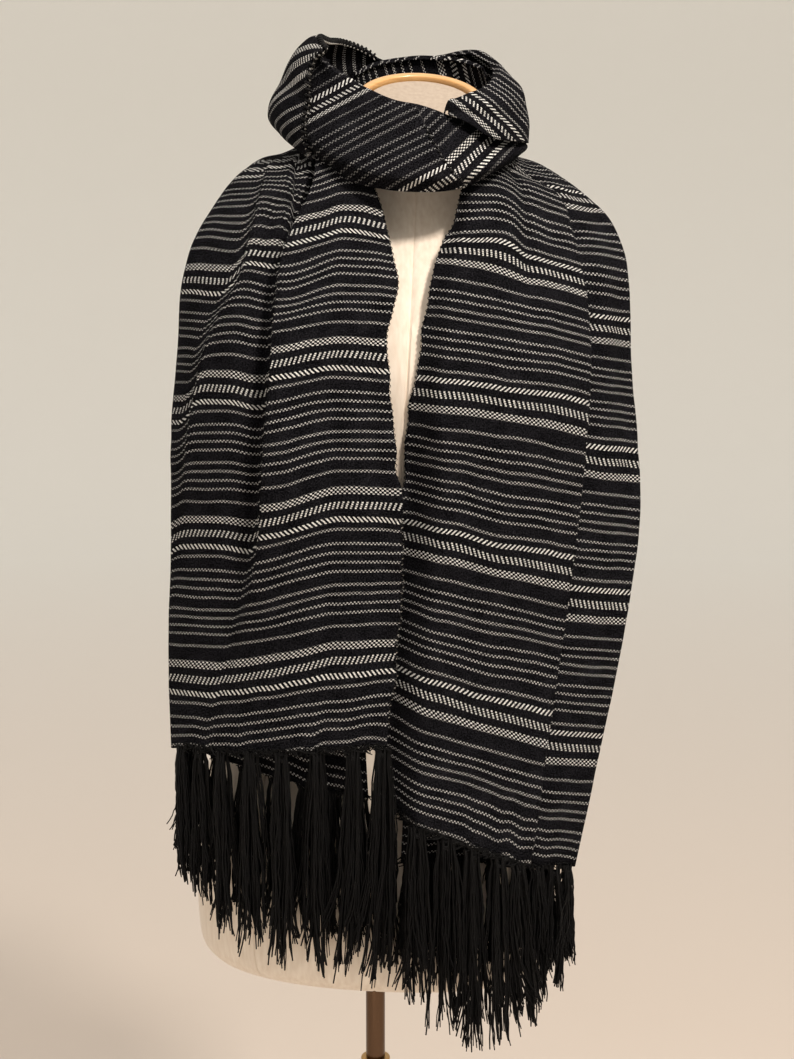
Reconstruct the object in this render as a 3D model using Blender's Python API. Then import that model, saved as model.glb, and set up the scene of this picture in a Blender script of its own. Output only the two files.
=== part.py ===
"""A long striped scarf wound once round the neck of a limbless dress form, which stands on a pole and base.

Units are metres, +Z is up, +X is the viewer's right and -Y faces the viewer. The origin is the middle of
the base's underside. The cloth is a thin wall made from tables of sections: each row is one section
across the scarf, and a smooth curve joins the rows along it.
"""

import math
import random

import bmesh
import bpy
import numpy as np
from mathutils import Matrix, Vector

# Driving sizes
CLOTH_THICKNESS = 0.0022
SEAM_GAP = 0.0004
FORM_BOTTOM = 0.690
FORM_LEAN = math.radians(3.0)
NECK_TILT = 30.0
POLE_RADIUS = 0.0092
POLE_COLLAR_RADIUS = 0.0140
POLE_LOWER_RADIUS = 0.0115
POLE_COLLAR_TOP = 0.588
POLE_COLLAR_HEIGHT = 0.036
BASE_RADIUS = 0.175
BASE_HEIGHT = 0.018
NECK_CENTRE = (0.0405, -0.012)
FORM_RINGS = 28
FORM_SEGMENTS = 26

# Body of the dress form, from the bottom up. Heights and widths are measured on the upright form.
FORM_COLUMNS = ("height", "centre_y", "half_width", "front", "back", "tilt")
FORM_SECTIONS = (
    (0.690, 0.000, 0.138, 0.083, 0.084, 0.0),
    (0.698, 0.000, 0.158, 0.100, 0.101, 0.0),
    (0.722, 0.000, 0.169, 0.108, 0.111, 0.0),
    (0.800, 0.000, 0.173, 0.111, 0.116, 0.0),
    (0.900, 0.000, 0.162, 0.106, 0.107, 0.0),
    (0.990, 0.000, 0.136, 0.097, 0.088, 0.0),
    (1.060, 0.000, 0.127, 0.093, 0.080, 0.0),
    (1.140, 0.000, 0.135, 0.101, 0.084, 0.0),
    (1.220, 0.000, 0.152, 0.118, 0.092, 0.0),
    (1.270, 0.000, 0.164, 0.119, 0.097, 0.0),
    (1.320, 0.000, 0.178, 0.104, 0.098, 0.0),
    (1.352, 0.000, 0.187, 0.090, 0.094, 0.0),
    (1.372, 0.000, 0.182, 0.079, 0.087, 0.0),
    (1.390, 0.000, 0.156, 0.070, 0.079, 0.0),
    (1.405, 0.000, 0.125, 0.064, 0.073, 2.0),
    (1.420, -0.001, 0.094, 0.059, 0.067, 6.0),
    (1.436, -0.004, 0.071, 0.056, 0.061, 12.0),
    (1.455, -0.009, 0.060, 0.054, 0.056, 20.0),
    (1.486, -0.018, 0.0565, 0.0565, 0.0565, NECK_TILT),
)

# End at the viewer's left, from behind the neck down to the hem. "in" is the edge by the middle of the
# chest and "out" the outer fold. "round" keeps the section forward until it nears the outer fold, "lift"
# raises its middle, and "back" is where the back layer ends.
TAIL_COLUMNS = ("in_x", "in_y", "in_z", "out_x", "out_y", "out_z", "round", "lift", "back_x", "back_y")
TAIL_LEFT_SECTIONS = (
    (-0.022, 0.022, 1.476, -0.050, 0.036, 1.446, 1.0, 0.000, -0.044, 0.030),
    (-0.031, -0.008, 1.474, -0.078, 0.006, 1.444, 1.2, 0.000, -0.070, 0.000),
    (-0.027, -0.042, 1.460, -0.098, -0.006, 1.440, 1.5, -0.006, -0.088, -0.014),
    (-0.013, -0.072, 1.434, -0.121, -0.014, 1.424, 1.8, 0.002, -0.108, -0.026),
    (0.003, -0.096, 1.402, -0.138, -0.0292, 1.4008, 2.2, 0.006, -0.116, -0.050),
    (0.014, -0.113, 1.365, -0.157, -0.046, 1.365, 2.6, 0.003, -0.128, -0.064),
    (0.021, -0.128, 1.328, -0.168, -0.050, 1.325, 3.0, 0.000, -0.128, -0.074),
    (0.012, -0.139, 1.285, -0.172, -0.052, 1.280, 3.2, 0.000, -0.112, -0.094),
    (0.017, -0.146, 1.210, -0.177, -0.060, 1.206, 3.2, 0.000, -0.082, -0.108),
    (0.026, -0.148, 1.120, -0.178, -0.068, 1.114, 3.0, 0.000, -0.040, -0.115),
    (0.022, -0.148, 1.030, -0.182, -0.074, 1.022, 2.8, 0.000, -0.012, -0.120),
    (0.012, -0.147, 0.936, -0.181, -0.078, 0.920, 2.6, 0.000, -0.004, -0.123),
)

# Front panel of the end at the viewer's right. "in" is the looped selvedge, "out" the pleat's edge.
TAIL_RIGHT_SECTIONS = (
    (0.098, -0.042, 1.458, 0.112, -0.030, 1.448, 1.0, 0.000, 0.108, -0.032),
    (0.093, -0.056, 1.446, 0.126, -0.036, 1.434, 1.0, 0.000, 0.120, -0.034),
    (0.088, -0.070, 1.432, 0.139, -0.042, 1.420, 1.3, 0.002, 0.131, -0.042),
    (0.075, -0.096, 1.404, 0.160, -0.064, 1.403, 1.8, 0.005, 0.146, -0.062),
    (0.066, -0.113, 1.375, 0.169, -0.087, 1.370, 2.2, 0.004, 0.150, -0.086),
    (0.053, -0.125, 1.345, 0.178, -0.096, 1.337, 2.4, 0.001, 0.155, -0.097),
    (0.048, -0.134, 1.316, 0.183, -0.102, 1.304, 2.6, 0.000, 0.157, -0.105),
    (0.039, -0.141, 1.275, 0.184, -0.108, 1.262, 2.6, 0.000, 0.157, -0.112),
    (0.030, -0.147, 1.215, 0.180, -0.112, 1.205, 2.6, 0.000, 0.152, -0.117),
    (0.025, -0.147, 1.150, 0.175, -0.112, 1.135, 2.6, 0.000, 0.147, -0.118),
    (0.023, -0.147, 1.080, 0.166, -0.116, 1.060, 2.4, 0.000, 0.138, -0.122),
    (0.022, -0.147, 0.990, 0.155, -0.120, 0.965, 2.2, 0.000, 0.128, -0.126),
    (0.020, -0.148, 0.886, 0.136, -0.124, 0.832, 2.0, 0.000, 0.108, -0.130),
)

# Second panel of that end. "in" is hidden under the front panel and "out" is the outer fold.
TAIL_UNDER_SECTIONS = (
    (0.118, 0.002, 1.452, 0.124, 0.024, 1.444, 1.0, 0.000, 0.122, 0.020),
    (0.121, -0.014, 1.442, 0.136, 0.012, 1.442, 1.0, 0.000, 0.132, 0.008),
    (0.127, -0.0285, 1.4205, 0.158, -0.004, 1.432, 1.2, 0.004, 0.152, -0.008),
    (0.140, -0.053, 1.397, 0.187, -0.018, 1.410, 1.4, 0.006, 0.180, -0.022),
    (0.144, -0.068, 1.368, 0.208, -0.038, 1.384, 1.8, 0.004, 0.198, -0.042),
    (0.151, -0.087, 1.336, 0.220, -0.052, 1.350, 2.3, 0.001, 0.200, -0.062),
    (0.155, -0.092, 1.302, 0.224, -0.056, 1.306, 2.0, 0.000, 0.186, -0.076),
    (0.155, -0.098, 1.258, 0.226, -0.056, 1.252, 2.0, 0.000, 0.168, -0.083),
    (0.150, -0.103, 1.200, 0.231, -0.062, 1.190, 2.0, 0.000, 0.122, -0.103),
    (0.145, -0.105, 1.135, 0.233, -0.068, 1.128, 2.0, 0.000, 0.080, -0.112),
    (0.137, -0.107, 1.062, 0.225, -0.074, 1.056, 2.0, 0.000, 0.050, -0.115),
    (0.126, -0.109, 0.968, 0.209, -0.080, 0.960, 2.0, 0.000, 0.032, -0.119),
    (0.107, -0.113, 0.830, 0.179, -0.088, 0.818, 2.0, 0.000, 0.024, -0.123),
)

# Folds along the ends. A row gives the fold's place across the width at the top, chest, waist and hem,
# how far it stands out, its width, and how far along the end it starts and stops. "step" is 1 for an
# overlapping fold with one steep side and 0 for a soft round one.
FOLD_COLUMNS = ("top", "chest", "waist", "hem", "height", "width", "start", "stop", "step")
LEFT_FOLDS = (
    (0.44, 0.54, 0.60, 0.78, 0.014, 0.24, 0.20, 0.95, 1),
    (0.75, 0.84, 0.93, 0.93, -0.006, 0.06, 0.22, 0.75, 0),
    (0.22, 0.26, 0.22, 0.30, -0.005, 0.08, 0.20, 0.80, 0),
    (0.62, 0.68, 0.80, 0.90, 0.006, 0.07, 0.20, 0.70, 0),
    (0.10, 0.08, 0.42, 0.50, 0.005, 0.10, 0.35, 1.00, 0),
)
RIGHT_FOLDS = (
    (0.30, 0.30, 0.35, 0.42, -0.005, 0.10, 0.15, 0.90, 0),
    (0.62, 0.58, 0.60, 0.66, 0.007, 0.14, 0.10, 0.85, 0),
    (0.84, 0.82, 0.84, 0.84, -0.006, 0.07, 0.20, 1.00, 0),
)
UNDER_FOLDS = (
    (0.45, 0.60, 0.66, 0.60, 0.006, 0.16, 0.15, 0.80, 0),
    (0.75, 0.85, 0.86, 0.84, -0.004, 0.08, 0.20, 0.95, 0),
)

# Stretches round the neck. Each row is a section at an angle round the neck's axis: 0 faces the viewer,
# 90 is the viewer's right. It runs from the upper edge over the crest and down the face to the tuck.
COLLAR_COLUMNS = (
    "angle", "edge_r", "edge_z", "crest_r", "crest_z", "face_r", "face_z",
    "belly_r", "belly_z", "tuck_r", "tuck_z",
)
COLLAR_FRONT_SECTIONS = (
    (-98, 0.080, 1.528, 0.089, 1.529, 0.105, 1.506, 0.112, 1.489, 0.105, 1.478),
    (-72, 0.080, 1.517, 0.089, 1.518, 0.106, 1.494, 0.113, 1.474, 0.104, 1.463),
    (-58, 0.076, 1.508, 0.086, 1.508, 0.106, 1.482, 0.113, 1.456, 0.104, 1.4355),
    (-45, 0.072, 1.498, 0.082, 1.498, 0.105, 1.470, 0.114, 1.443, 0.103, 1.4215),
    (-20, 0.070, 1.483, 0.081, 1.482, 0.106, 1.454, 0.117, 1.424, 0.106, 1.409),
    (0, 0.069, 1.477, 0.080, 1.475, 0.106, 1.448, 0.117, 1.420, 0.106, 1.405),
    (20, 0.067, 1.470, 0.077, 1.468, 0.101, 1.447, 0.115, 1.423, 0.105, 1.409),
    (42, 0.066, 1.464, 0.074, 1.463, 0.091, 1.452, 0.107, 1.437, 0.099, 1.426),
    (62, 0.068, 1.464, 0.074, 1.464, 0.088, 1.457, 0.101, 1.446, 0.095, 1.438),
    (80, 0.071, 1.469, 0.075, 1.470, 0.085, 1.464, 0.097, 1.453, 0.091, 1.447),
    (98, 0.073, 1.476, 0.076, 1.477, 0.082, 1.471, 0.088, 1.462, 0.086, 1.457),
)
COLLAR_LEFT_SECTIONS = (
    (-55, 0.098, 1.528, 0.106, 1.521, 0.1185, 1.490, 0.1200, 1.457, 0.1127, 1.434),
    (-75, 0.090, 1.541, 0.100, 1.538, 0.122, 1.504, 0.130, 1.472, 0.120, 1.453),
    (-95, 0.081, 1.543, 0.090, 1.542, 0.123, 1.510, 0.134, 1.479, 0.122, 1.462),
    (-120, 0.081, 1.547, 0.089, 1.546, 0.114, 1.511, 0.125, 1.474, 0.113, 1.454),
    (-142, 0.083, 1.544, 0.090, 1.543, 0.106, 1.505, 0.113, 1.465, 0.104, 1.442),
    (-155, 0.084, 1.535, 0.090, 1.534, 0.103, 1.498, 0.109, 1.460, 0.100, 1.436),
    (-172, 0.085, 1.528, 0.090, 1.527, 0.100, 1.493, 0.105, 1.456, 0.097, 1.430),
    (-198, 0.086, 1.518, 0.089, 1.517, 0.096, 1.488, 0.099, 1.455, 0.093, 1.432),
)
COLLAR_RIGHT_SECTIONS = (
    (16, 0.074, 1.478, 0.077, 1.480, 0.083, 1.479, 0.087, 1.477, 0.089, 1.474),
    (25, 0.069, 1.482, 0.075, 1.485, 0.088, 1.479, 0.096, 1.470, 0.098, 1.462),
    (36, 0.066, 1.485, 0.073, 1.490, 0.092, 1.482, 0.102, 1.465, 0.104, 1.451),
    (55, 0.064, 1.492, 0.072, 1.498, 0.093, 1.489, 0.104, 1.466, 0.104, 1.450),
    (75, 0.064, 1.504, 0.073, 1.510, 0.091, 1.498, 0.099, 1.471, 0.099, 1.4518),
    (95, 0.066, 1.514, 0.074, 1.519, 0.088, 1.505, 0.095, 1.474, 0.094, 1.4536),
    (118, 0.074, 1.524, 0.082, 1.529, 0.093, 1.508, 0.100, 1.474, 0.096, 1.452),
    (146, 0.088, 1.541, 0.095, 1.544, 0.106, 1.515, 0.111, 1.470, 0.104, 1.442),
    (168, 0.095, 1.541, 0.101, 1.541, 0.110, 1.510, 0.115, 1.466, 0.107, 1.436),
    (192, 0.097, 1.534, 0.102, 1.534, 0.111, 1.504, 0.115, 1.464, 0.108, 1.436),
)
COLLAR_BACK_SECTIONS = (
    (122, 0.066, 1.522, 0.069, 1.523, 0.074, 1.508, 0.078, 1.474, 0.076, 1.449),
    (150, 0.070, 1.532, 0.074, 1.533, 0.079, 1.508, 0.082, 1.470, 0.078, 1.441),
    (180, 0.071, 1.535, 0.075, 1.536, 0.081, 1.506, 0.084, 1.466, 0.080, 1.436),
    (210, 0.071, 1.529, 0.075, 1.530, 0.080, 1.504, 0.083, 1.468, 0.079, 1.441),
    (235, 0.070, 1.517, 0.073, 1.518, 0.076, 1.500, 0.079, 1.470, 0.077, 1.449),
)

# Soft folds round the neck: place across the section at the first and last angle, height and width.
COLLAR_FOLD_COLUMNS = ("first", "last", "height", "width")
FRONT_WRAP_FOLDS = (
    (0.30, 0.75, -0.004, 0.10),
    (0.62, 1.10, 0.004, 0.12),
    (0.05, 0.40, 0.003, 0.10),
)
LEFT_LOBE_FOLDS = (
    (0.55, 0.35, -0.004, 0.10),
    (0.30, 0.70, 0.004, 0.12),
)
RIGHT_LOBE_FOLDS = (
    (0.80, 0.45, -0.003, 0.10),
    (0.45, 0.75, 0.003, 0.14),
)
NO_FOLDS = ()

# Knotted tassels along the hems. A row is one tassel: its place along the hem, half the width of its
# head, the height its strands reach, how far they fan out at each side, and how far they sway sideways.
STRIP_HEIGHT = 0.0045
STRIP_THICKNESS = 0.0026
KNOT_HEIGHT = 0.0080
TASSEL_COLUMNS = ("place", "half", "tip_z", "fan", "sway")
LEFT_TASSELS = (
    (0.012, 0.0042, 0.730, 0.0060, 0.010),
    (0.096, 0.0046, 0.736, 0.0070, 0.006),
    (0.200, 0.0048, 0.738, 0.0080, 0.002),
    (0.300, 0.0046, 0.745, 0.0080, 0.000),
    (0.395, 0.0048, 0.752, 0.0080, -0.002),
    (0.480, 0.0044, 0.763, 0.0075, -0.002),
    (0.550, 0.0040, 0.782, 0.0060, -0.003),
    (0.608, 0.0036, 0.800, 0.0045, -0.006),
)
LEFT_BACK_TASSELS = (
    (0.735, 0.0034, 0.815, 0.0045, -0.012),
    (0.775, 0.0042, 0.790, 0.0070, -0.002),
    (0.820, 0.0044, 0.775, 0.0080, 0.000),
    (0.865, 0.0044, 0.768, 0.0080, 0.000),
    (0.910, 0.0044, 0.762, 0.0080, 0.001),
    (0.950, 0.0044, 0.756, 0.0070, 0.002),
    (0.985, 0.0042, 0.752, 0.0060, 0.004),
)
RIGHT_TASSELS = (
    (0.030, 0.0042, 0.728, 0.0060, -0.004),
    (0.170, 0.0048, 0.710, 0.0085, 0.000),
    (0.315, 0.0050, 0.686, 0.0090, 0.002),
    (0.455, 0.0050, 0.668, 0.0090, 0.003),
    (0.585, 0.0046, 0.664, 0.0085, 0.006),
    (0.690, 0.0042, 0.676, 0.0070, 0.010),
)
RIGHT_SIDE_TASSELS = (
    (0.225, 0.0040, 0.688, 0.0050, 0.000),
    (0.315, 0.0042, 0.700, 0.0060, 0.000),
    (0.385, 0.0036, 0.720, 0.0045, -0.003),
)
RIGHT_BACK_TASSELS = (
    (0.560, 0.0036, 0.735, 0.0050, -0.006),
    (0.640, 0.0044, 0.722, 0.0085, 0.000),
    (0.730, 0.0044, 0.715, 0.0090, 0.000),
    (0.820, 0.0044, 0.712, 0.0090, 0.000),
    (0.900, 0.0044, 0.718, 0.0080, 0.000),
    (0.970, 0.0042, 0.726, 0.0060, 0.000),
)


def clear_scene():
    for obj in list(bpy.data.objects):
        bpy.data.objects.remove(obj)


def linear(hex_colour):
    """An sRGB hex colour as linear red, green and blue."""
    channels = [int(hex_colour[i:i + 2], 16) / 255 for i in (0, 2, 4)]
    return [c / 12.92 if c <= 0.04045 else ((c + 0.055) / 1.055) ** 2.4 for c in channels]


def material(name, hex_colour, roughness, metallic=0.0):
    made = bpy.data.materials.new(name)
    made.use_nodes = True
    shader = made.node_tree.nodes["Principled BSDF"]
    shader.inputs["Base Color"].default_value = (*linear(hex_colour), 1.0)
    shader.inputs["Roughness"].default_value = roughness
    shader.inputs["Metallic"].default_value = metallic
    return made


def table(columns, rows):
    """Named columns of a section table as arrays."""
    values = np.array(rows, dtype=float)
    return {name: values[:, i] for i, name in enumerate(columns)}


def smooth(values, place):
    """The value at a fractional row, on a Catmull-Rom curve through all rows."""
    last = len(values) - 1
    place = min(max(place, 0.0), float(last))
    i = min(int(place), last - 1)
    t = place - i
    before = values[i - 1] if i > 0 else 2 * values[0] - values[1]
    after = values[i + 2] if i + 2 <= last else 2 * values[last] - values[last - 1]
    a, b = values[i], values[i + 1]
    return 0.5 * (
        2 * a + (b - before) * t + (2 * before - 5 * a + 4 * b - after) * t ** 2
        + (3 * a - before - 3 * b + after) * t ** 3
    )


def ease(x):
    """Smooth rise from 0 to 1 between x = 0 and x = 1."""
    x = min(max(x, 0.0), 1.0)
    return x * x * (3 - 2 * x)


def add_object(name, mesh, finish):
    mesh.materials.append(finish)
    obj = bpy.data.objects.new(name, mesh)
    bpy.context.scene.collection.objects.link(obj)
    return obj


def finish_mesh(name, bm, finish, smooth_angle=40.0):
    """Turns a bmesh into a named object with outward faces."""
    bmesh.ops.recalc_face_normals(bm, faces=bm.faces)
    mesh = bpy.data.meshes.new(name)
    bm.to_mesh(mesh)
    bm.free()
    mesh.shade_smooth()
    mesh.set_sharp_from_angle(angle=math.radians(smooth_angle))
    return add_object(name, mesh, finish)


def cloth(name, point, across, along, finish):
    """A cloth wall: a grid whose points follow point(u, v), thickened on both sides."""
    bm = bmesh.new()
    bmesh.ops.create_grid(bm, x_segments=across, y_segments=along, size=0.5)
    for vert in bm.verts:
        vert.co = point(vert.co.x + 0.5, vert.co.y + 0.5)
    mesh = bpy.data.meshes.new(name)
    bm.to_mesh(mesh)
    bm.free()
    mesh.shade_smooth()
    obj = add_object(name, mesh, finish)
    wall = obj.modifiers.new("Cloth wall", "SOLIDIFY")
    wall.thickness = CLOTH_THICKNESS
    wall.offset = 0.0
    return obj


def lean(point):
    """Leans a point of the upright form towards the viewer's right, about the middle of its bottom."""
    foot = Vector((0.0, 0.0, FORM_BOTTOM))
    return Matrix.Rotation(FORM_LEAN, 4, "Y") @ (Vector(point) - foot) + foot


def form_ring(section, segments):
    """Points round one section of the body, which is a rounded oval tilted about its own width."""
    squareness = 2.3
    points = []
    for i in range(segments):
        angle = 2 * math.pi * i / segments
        side, depth = math.cos(angle), math.sin(angle)
        x = math.copysign(abs(side) ** (2 / squareness), side) * section["half_width"]
        reach = section["back"] if depth > 0 else section["front"]
        y = math.copysign(abs(depth) ** (2 / squareness), depth) * reach
        tilt = math.radians(section["tilt"])
        points.append(lean((
            x,
            section["centre_y"] + y * math.cos(tilt),
            section["height"] + y * math.sin(tilt),
        )))
    return points


def loft(rings):
    """Joins rings of equal length into one closed skin with both ends capped."""
    bm = bmesh.new()
    loops = []
    for ring in rings:
        verts = [bm.verts.new(p) for p in ring]
        loops.append([bm.edges.new((verts[i - 1], verts[i])) for i in range(len(verts))])
    for low, high in zip(loops, loops[1:]):
        bmesh.ops.bridge_loops(bm, edges=low + high)
    for end in (loops[0], loops[-1]):
        bmesh.ops.contextual_create(bm, geom=end)
    return bm


def build_form(linen):
    sections = table(FORM_COLUMNS, FORM_SECTIONS)
    last = len(FORM_SECTIONS) - 1
    rings = []
    for i in range(FORM_RINGS):
        place = last * i / (FORM_RINGS - 1)
        rings.append(form_ring({k: smooth(v, place) for k, v in sections.items()}, FORM_SEGMENTS))
    return finish_mesh("form_body", loft(rings), linen)


def neck_top_frame(raise_by):
    """Frame on the tilted top of the neck, raised along its normal."""
    top = dict(zip(FORM_COLUMNS, FORM_SECTIONS[-1]))
    centre = lean((0.0, top["centre_y"], top["height"]))
    turn = Matrix.Rotation(FORM_LEAN, 4, "Y") @ Matrix.Rotation(math.radians(NECK_TILT), 4, "X")
    return Matrix.Translation(centre) @ turn @ Matrix.Translation((0, 0, raise_by))


def turned(profile, steps, frame):
    """A closed solid turned from a profile of (radius, height) points round the frame's Z axis."""
    rings = []
    for radius, height in profile:
        angles = (2 * math.pi * i / steps for i in range(steps))
        rings.append([frame @ Vector((radius * math.cos(a), radius * math.sin(a), height)) for a in angles])
    return loft(rings)


def build_neck_disc(linen):
    radius = 0.0482
    thickness = 0.0030
    rim = 0.0010
    profile = ((radius - rim, 0.0), (radius, rim), (radius, thickness - rim), (radius - rim, thickness))
    return finish_mesh("neck_disc", turned(profile, 28, neck_top_frame(SEAM_GAP)), linen)


def build_neck_ring(wood):
    inner, outer, height, corner = 0.0495, 0.0572, 0.0074, 0.0018
    outline = (
        (inner + corner, 0.0), (outer - corner, 0.0), (outer, corner), (outer, height - corner),
        (outer - corner, height), (inner + corner, height), (inner, height - corner), (inner, corner),
    )
    frame = neck_top_frame(SEAM_GAP)
    bm = bmesh.new()
    verts = [bm.verts.new(frame @ Vector((r, 0, z))) for r, z in outline]
    face = bm.faces.new(verts)
    axis = frame.to_3x3() @ Vector((0, 0, 1))
    bmesh.ops.spin(
        bm, geom=[face, *face.edges, *face.verts], cent=frame.translation, axis=axis,
        angle=2 * math.pi, steps=32, use_merge=True,
    )
    bmesh.ops.remove_doubles(bm, verts=bm.verts, dist=0.00001)
    inner_faces = [f for f in bm.faces if len(f.verts) == len(outline)]
    bmesh.ops.delete(bm, geom=inner_faces, context="FACES_ONLY")
    return finish_mesh("neck_ring", bm, wood)


def build_stand(metal, brass):
    upright = Matrix.Identity(4)
    pole_top = FORM_BOTTOM - POLE_RADIUS * math.tan(FORM_LEAN) - SEAM_GAP
    collar_bottom = POLE_COLLAR_TOP - POLE_COLLAR_HEIGHT
    edge = 0.0015
    upper = ((POLE_RADIUS, POLE_COLLAR_TOP + SEAM_GAP), (POLE_RADIUS, pole_top))
    finish_mesh("pole_upper", turned(upper, 20, upright), metal)
    collar = (
        (POLE_COLLAR_RADIUS - edge, collar_bottom), (POLE_COLLAR_RADIUS, collar_bottom + edge),
        (POLE_COLLAR_RADIUS, POLE_COLLAR_TOP - edge), (POLE_COLLAR_RADIUS - edge, POLE_COLLAR_TOP),
    )
    finish_mesh("pole_collar", turned(collar, 20, upright), brass)
    lower = ((POLE_LOWER_RADIUS, BASE_HEIGHT + SEAM_GAP), (POLE_LOWER_RADIUS, collar_bottom - SEAM_GAP))
    finish_mesh("pole_lower", turned(lower, 20, upright), metal)
    base = (
        (BASE_RADIUS - 0.003, 0.0), (BASE_RADIUS, 0.003), (BASE_RADIUS - 0.002, 0.007),
        (0.120, 0.012), (0.050, 0.016), (0.030, BASE_HEIGHT),
    )
    finish_mesh("base", turned(base, 40, upright), metal)


def fold_offset(folds, u, v):
    """How far the folds move a point out of a hanging end, at width u and length v."""
    total = 0.0
    for fold in folds:
        row = dict(zip(FOLD_COLUMNS, fold))
        line = smooth(np.array([row["top"], row["chest"], row["waist"], row["hem"]]), 3 * v)
        fade = ease((v - row["start"]) / 0.12) * ease((row["stop"] - v) / 0.25 + 0.15)
        away = (line - u) / row["width"]
        if row["step"]:
            shape = math.exp(-away) * ease(away / 0.16) if away > 0 else 0.0
        else:
            shape = math.exp(-away * away)
        total += row["height"] * fade * shape
    return total


def tail_surface(columns, folds, curl=0.0):
    """The front layer of a hanging end as a function of width u and length v."""
    last = len(columns["in_x"]) - 1

    def surface(u, v):
        row = {name: smooth(values, v * last) for name, values in columns.items()}
        bend = max(u, 0.0) ** row["round"]
        out = fold_offset(folds, u, v)
        edge_back = curl * ease(v / 0.4) * (1 - ease(u / 0.14))
        return Vector((
            row["in_x"] + (row["out_x"] - row["in_x"]) * u,
            row["in_y"] + (row["out_y"] - row["in_y"]) * bend - out * (0.3 + 0.7 * ease(v / 0.3)) + edge_back,
            row["in_z"] + (row["out_z"] - row["in_z"]) * u + row["lift"] * math.sin(math.pi * u)
            + out * 0.7 * (1 - ease(v / 0.3)),
        ))

    return surface


def normal_of(surface, u, v):
    """Unit direction out of a hanging end, away from the body."""
    step = 0.01
    low, high = max(u - step, 0.0), min(u + step, 1.0)
    up, down = max(v - step, 0.0), min(v + step, 1.0)
    width = surface(high, v) - surface(low, v)
    length = surface(u, down) - surface(u, up)
    out = width.cross(length)
    if out.y > 0 and v > 0.3 or out.z < 0 and v <= 0.3:
        out = -out
    return out.normalized()


def folded_end(columns, folds, layer_gap, front_share, back_round, curl=0.0, drop=0.0):
    """A hanging end as one wall: front layer, round outer fold, then the back layer towards the middle."""
    front = tail_surface(columns, folds, curl)
    plain = tail_surface(columns, NO_FOLDS)
    last = len(columns["in_x"]) - 1
    fold_share = 0.08
    top_turn = 0.18
    top_gap = 0.006

    def back_layer(across, v, edge, out, gap):
        """A point of the back layer: beside the neck it follows the front layer, lower down its own path."""
        follow = plain(1.0 - top_turn * across, v) - plain(1.0, v) + edge - out * gap
        row = {name: smooth(values, v * last) for name, values in columns.items()}
        start = edge - out * gap
        inward = 1.0 - across
        hang = Vector((
            start.x + (row["back_x"] - start.x) * across,
            row["back_y"] + (start.y - row["back_y"]) * inward ** back_round,
            start.z + (row["in_z"] - row["out_z"]) * across * (start.x - row["back_x"])
            / (row["out_x"] - row["in_x"]) - drop * across * ease((v - 0.6) / 0.4),
        ))
        return follow.lerp(hang, ease((v - 0.24) / 0.14))

    def point(s, v):
        if s <= front_share:
            return front(s / front_share, v)
        edge = front(1.0, v)
        out = normal_of(plain, 1.0, v)
        outward = edge - front(0.96, v)
        outward = (outward - out * outward.dot(out)).normalized()
        gap = top_gap + (layer_gap - top_gap) * ease(v / 0.35)
        if s <= front_share + fold_share:
            around = math.pi * (s - front_share) / fold_share
            return edge - out * gap * 0.5 * (1 - math.cos(around)) + outward * gap * 0.5 * math.sin(around)
        across = (s - front_share - fold_share) / (1 - front_share - fold_share)
        return back_layer(across, v, edge, out, gap)

    return point


def collar_band(columns, folds):
    """A stretch round the neck as a function of the way down its section u and along it v."""
    last = len(columns["angle"]) - 1
    names = ("edge", "crest", "face", "belly", "tuck")

    def point(u, v):
        row = {name: smooth(values, v * last) for name, values in columns.items()}
        radii = np.array([row[name + "_r"] for name in names])
        heights = np.array([row[name + "_z"] for name in names])
        place = u * (len(names) - 1)
        radius, height = smooth(radii, place), smooth(heights, place)
        for fold in folds:
            shape = dict(zip(COLLAR_FOLD_COLUMNS, fold))
            line = shape["first"] + (shape["last"] - shape["first"]) * v
            fade = ease(u / 0.2) * ease((1 - u) / 0.2)
            radius += shape["height"] * fade * math.exp(-(((u - line) / shape["width"]) ** 2))
        angle = math.radians(row["angle"])
        return Vector((
            NECK_CENTRE[0] + radius * math.sin(angle),
            NECK_CENTRE[1] - radius * math.cos(angle),
            height,
        ))

    return point


def hem_frame(hem, place):
    """Middle of the cloth's edge at a place along the hem, with the directions along it, out of it and down."""
    step = 0.004
    centre = hem(place)
    along = (hem(min(place + step, 1.0)) - hem(max(place - step, 0.0))).normalized()
    out = Vector((0.0, 0.0, 1.0)).cross(along).normalized()
    down = along.cross(out).normalized()
    if down.z > 0:
        down = -down
    return centre, along, out, down


def strip_ring(hem, place, shift):
    """Section of the strip that carries the tassels, at a place along the hem moved a little along it."""
    centre, along, out, down = hem_frame(hem, place)
    top = centre + along * shift + down * (SEAM_GAP + 0.0002)
    half = out * STRIP_THICKNESS / 2
    return [top - half, top + half, top + half + down * STRIP_HEIGHT, top - half + down * STRIP_HEIGHT]


def extruded(bm, face, corners):
    """Extrudes one face and moves the new face's corners."""
    made = bmesh.ops.extrude_discrete_faces(bm, faces=[face])["faces"][0]
    for vert, corner in zip(made.verts, corners(made)):
        vert.co = corner
    return made


def level_rectangle(centre, side, depth, half_side, half_depth):
    """Moves a four-sided face to a level rectangle and keeps which corner is which."""
    def corners(face):
        middle = face.calc_center_median()
        places = []
        for vert in face.verts:
            away = vert.co - middle
            across = math.copysign(half_side, away.dot(side))
            through = math.copysign(half_depth, away.dot(depth))
            places.append(centre + side * across + depth * through)
        return places
    return corners


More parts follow.
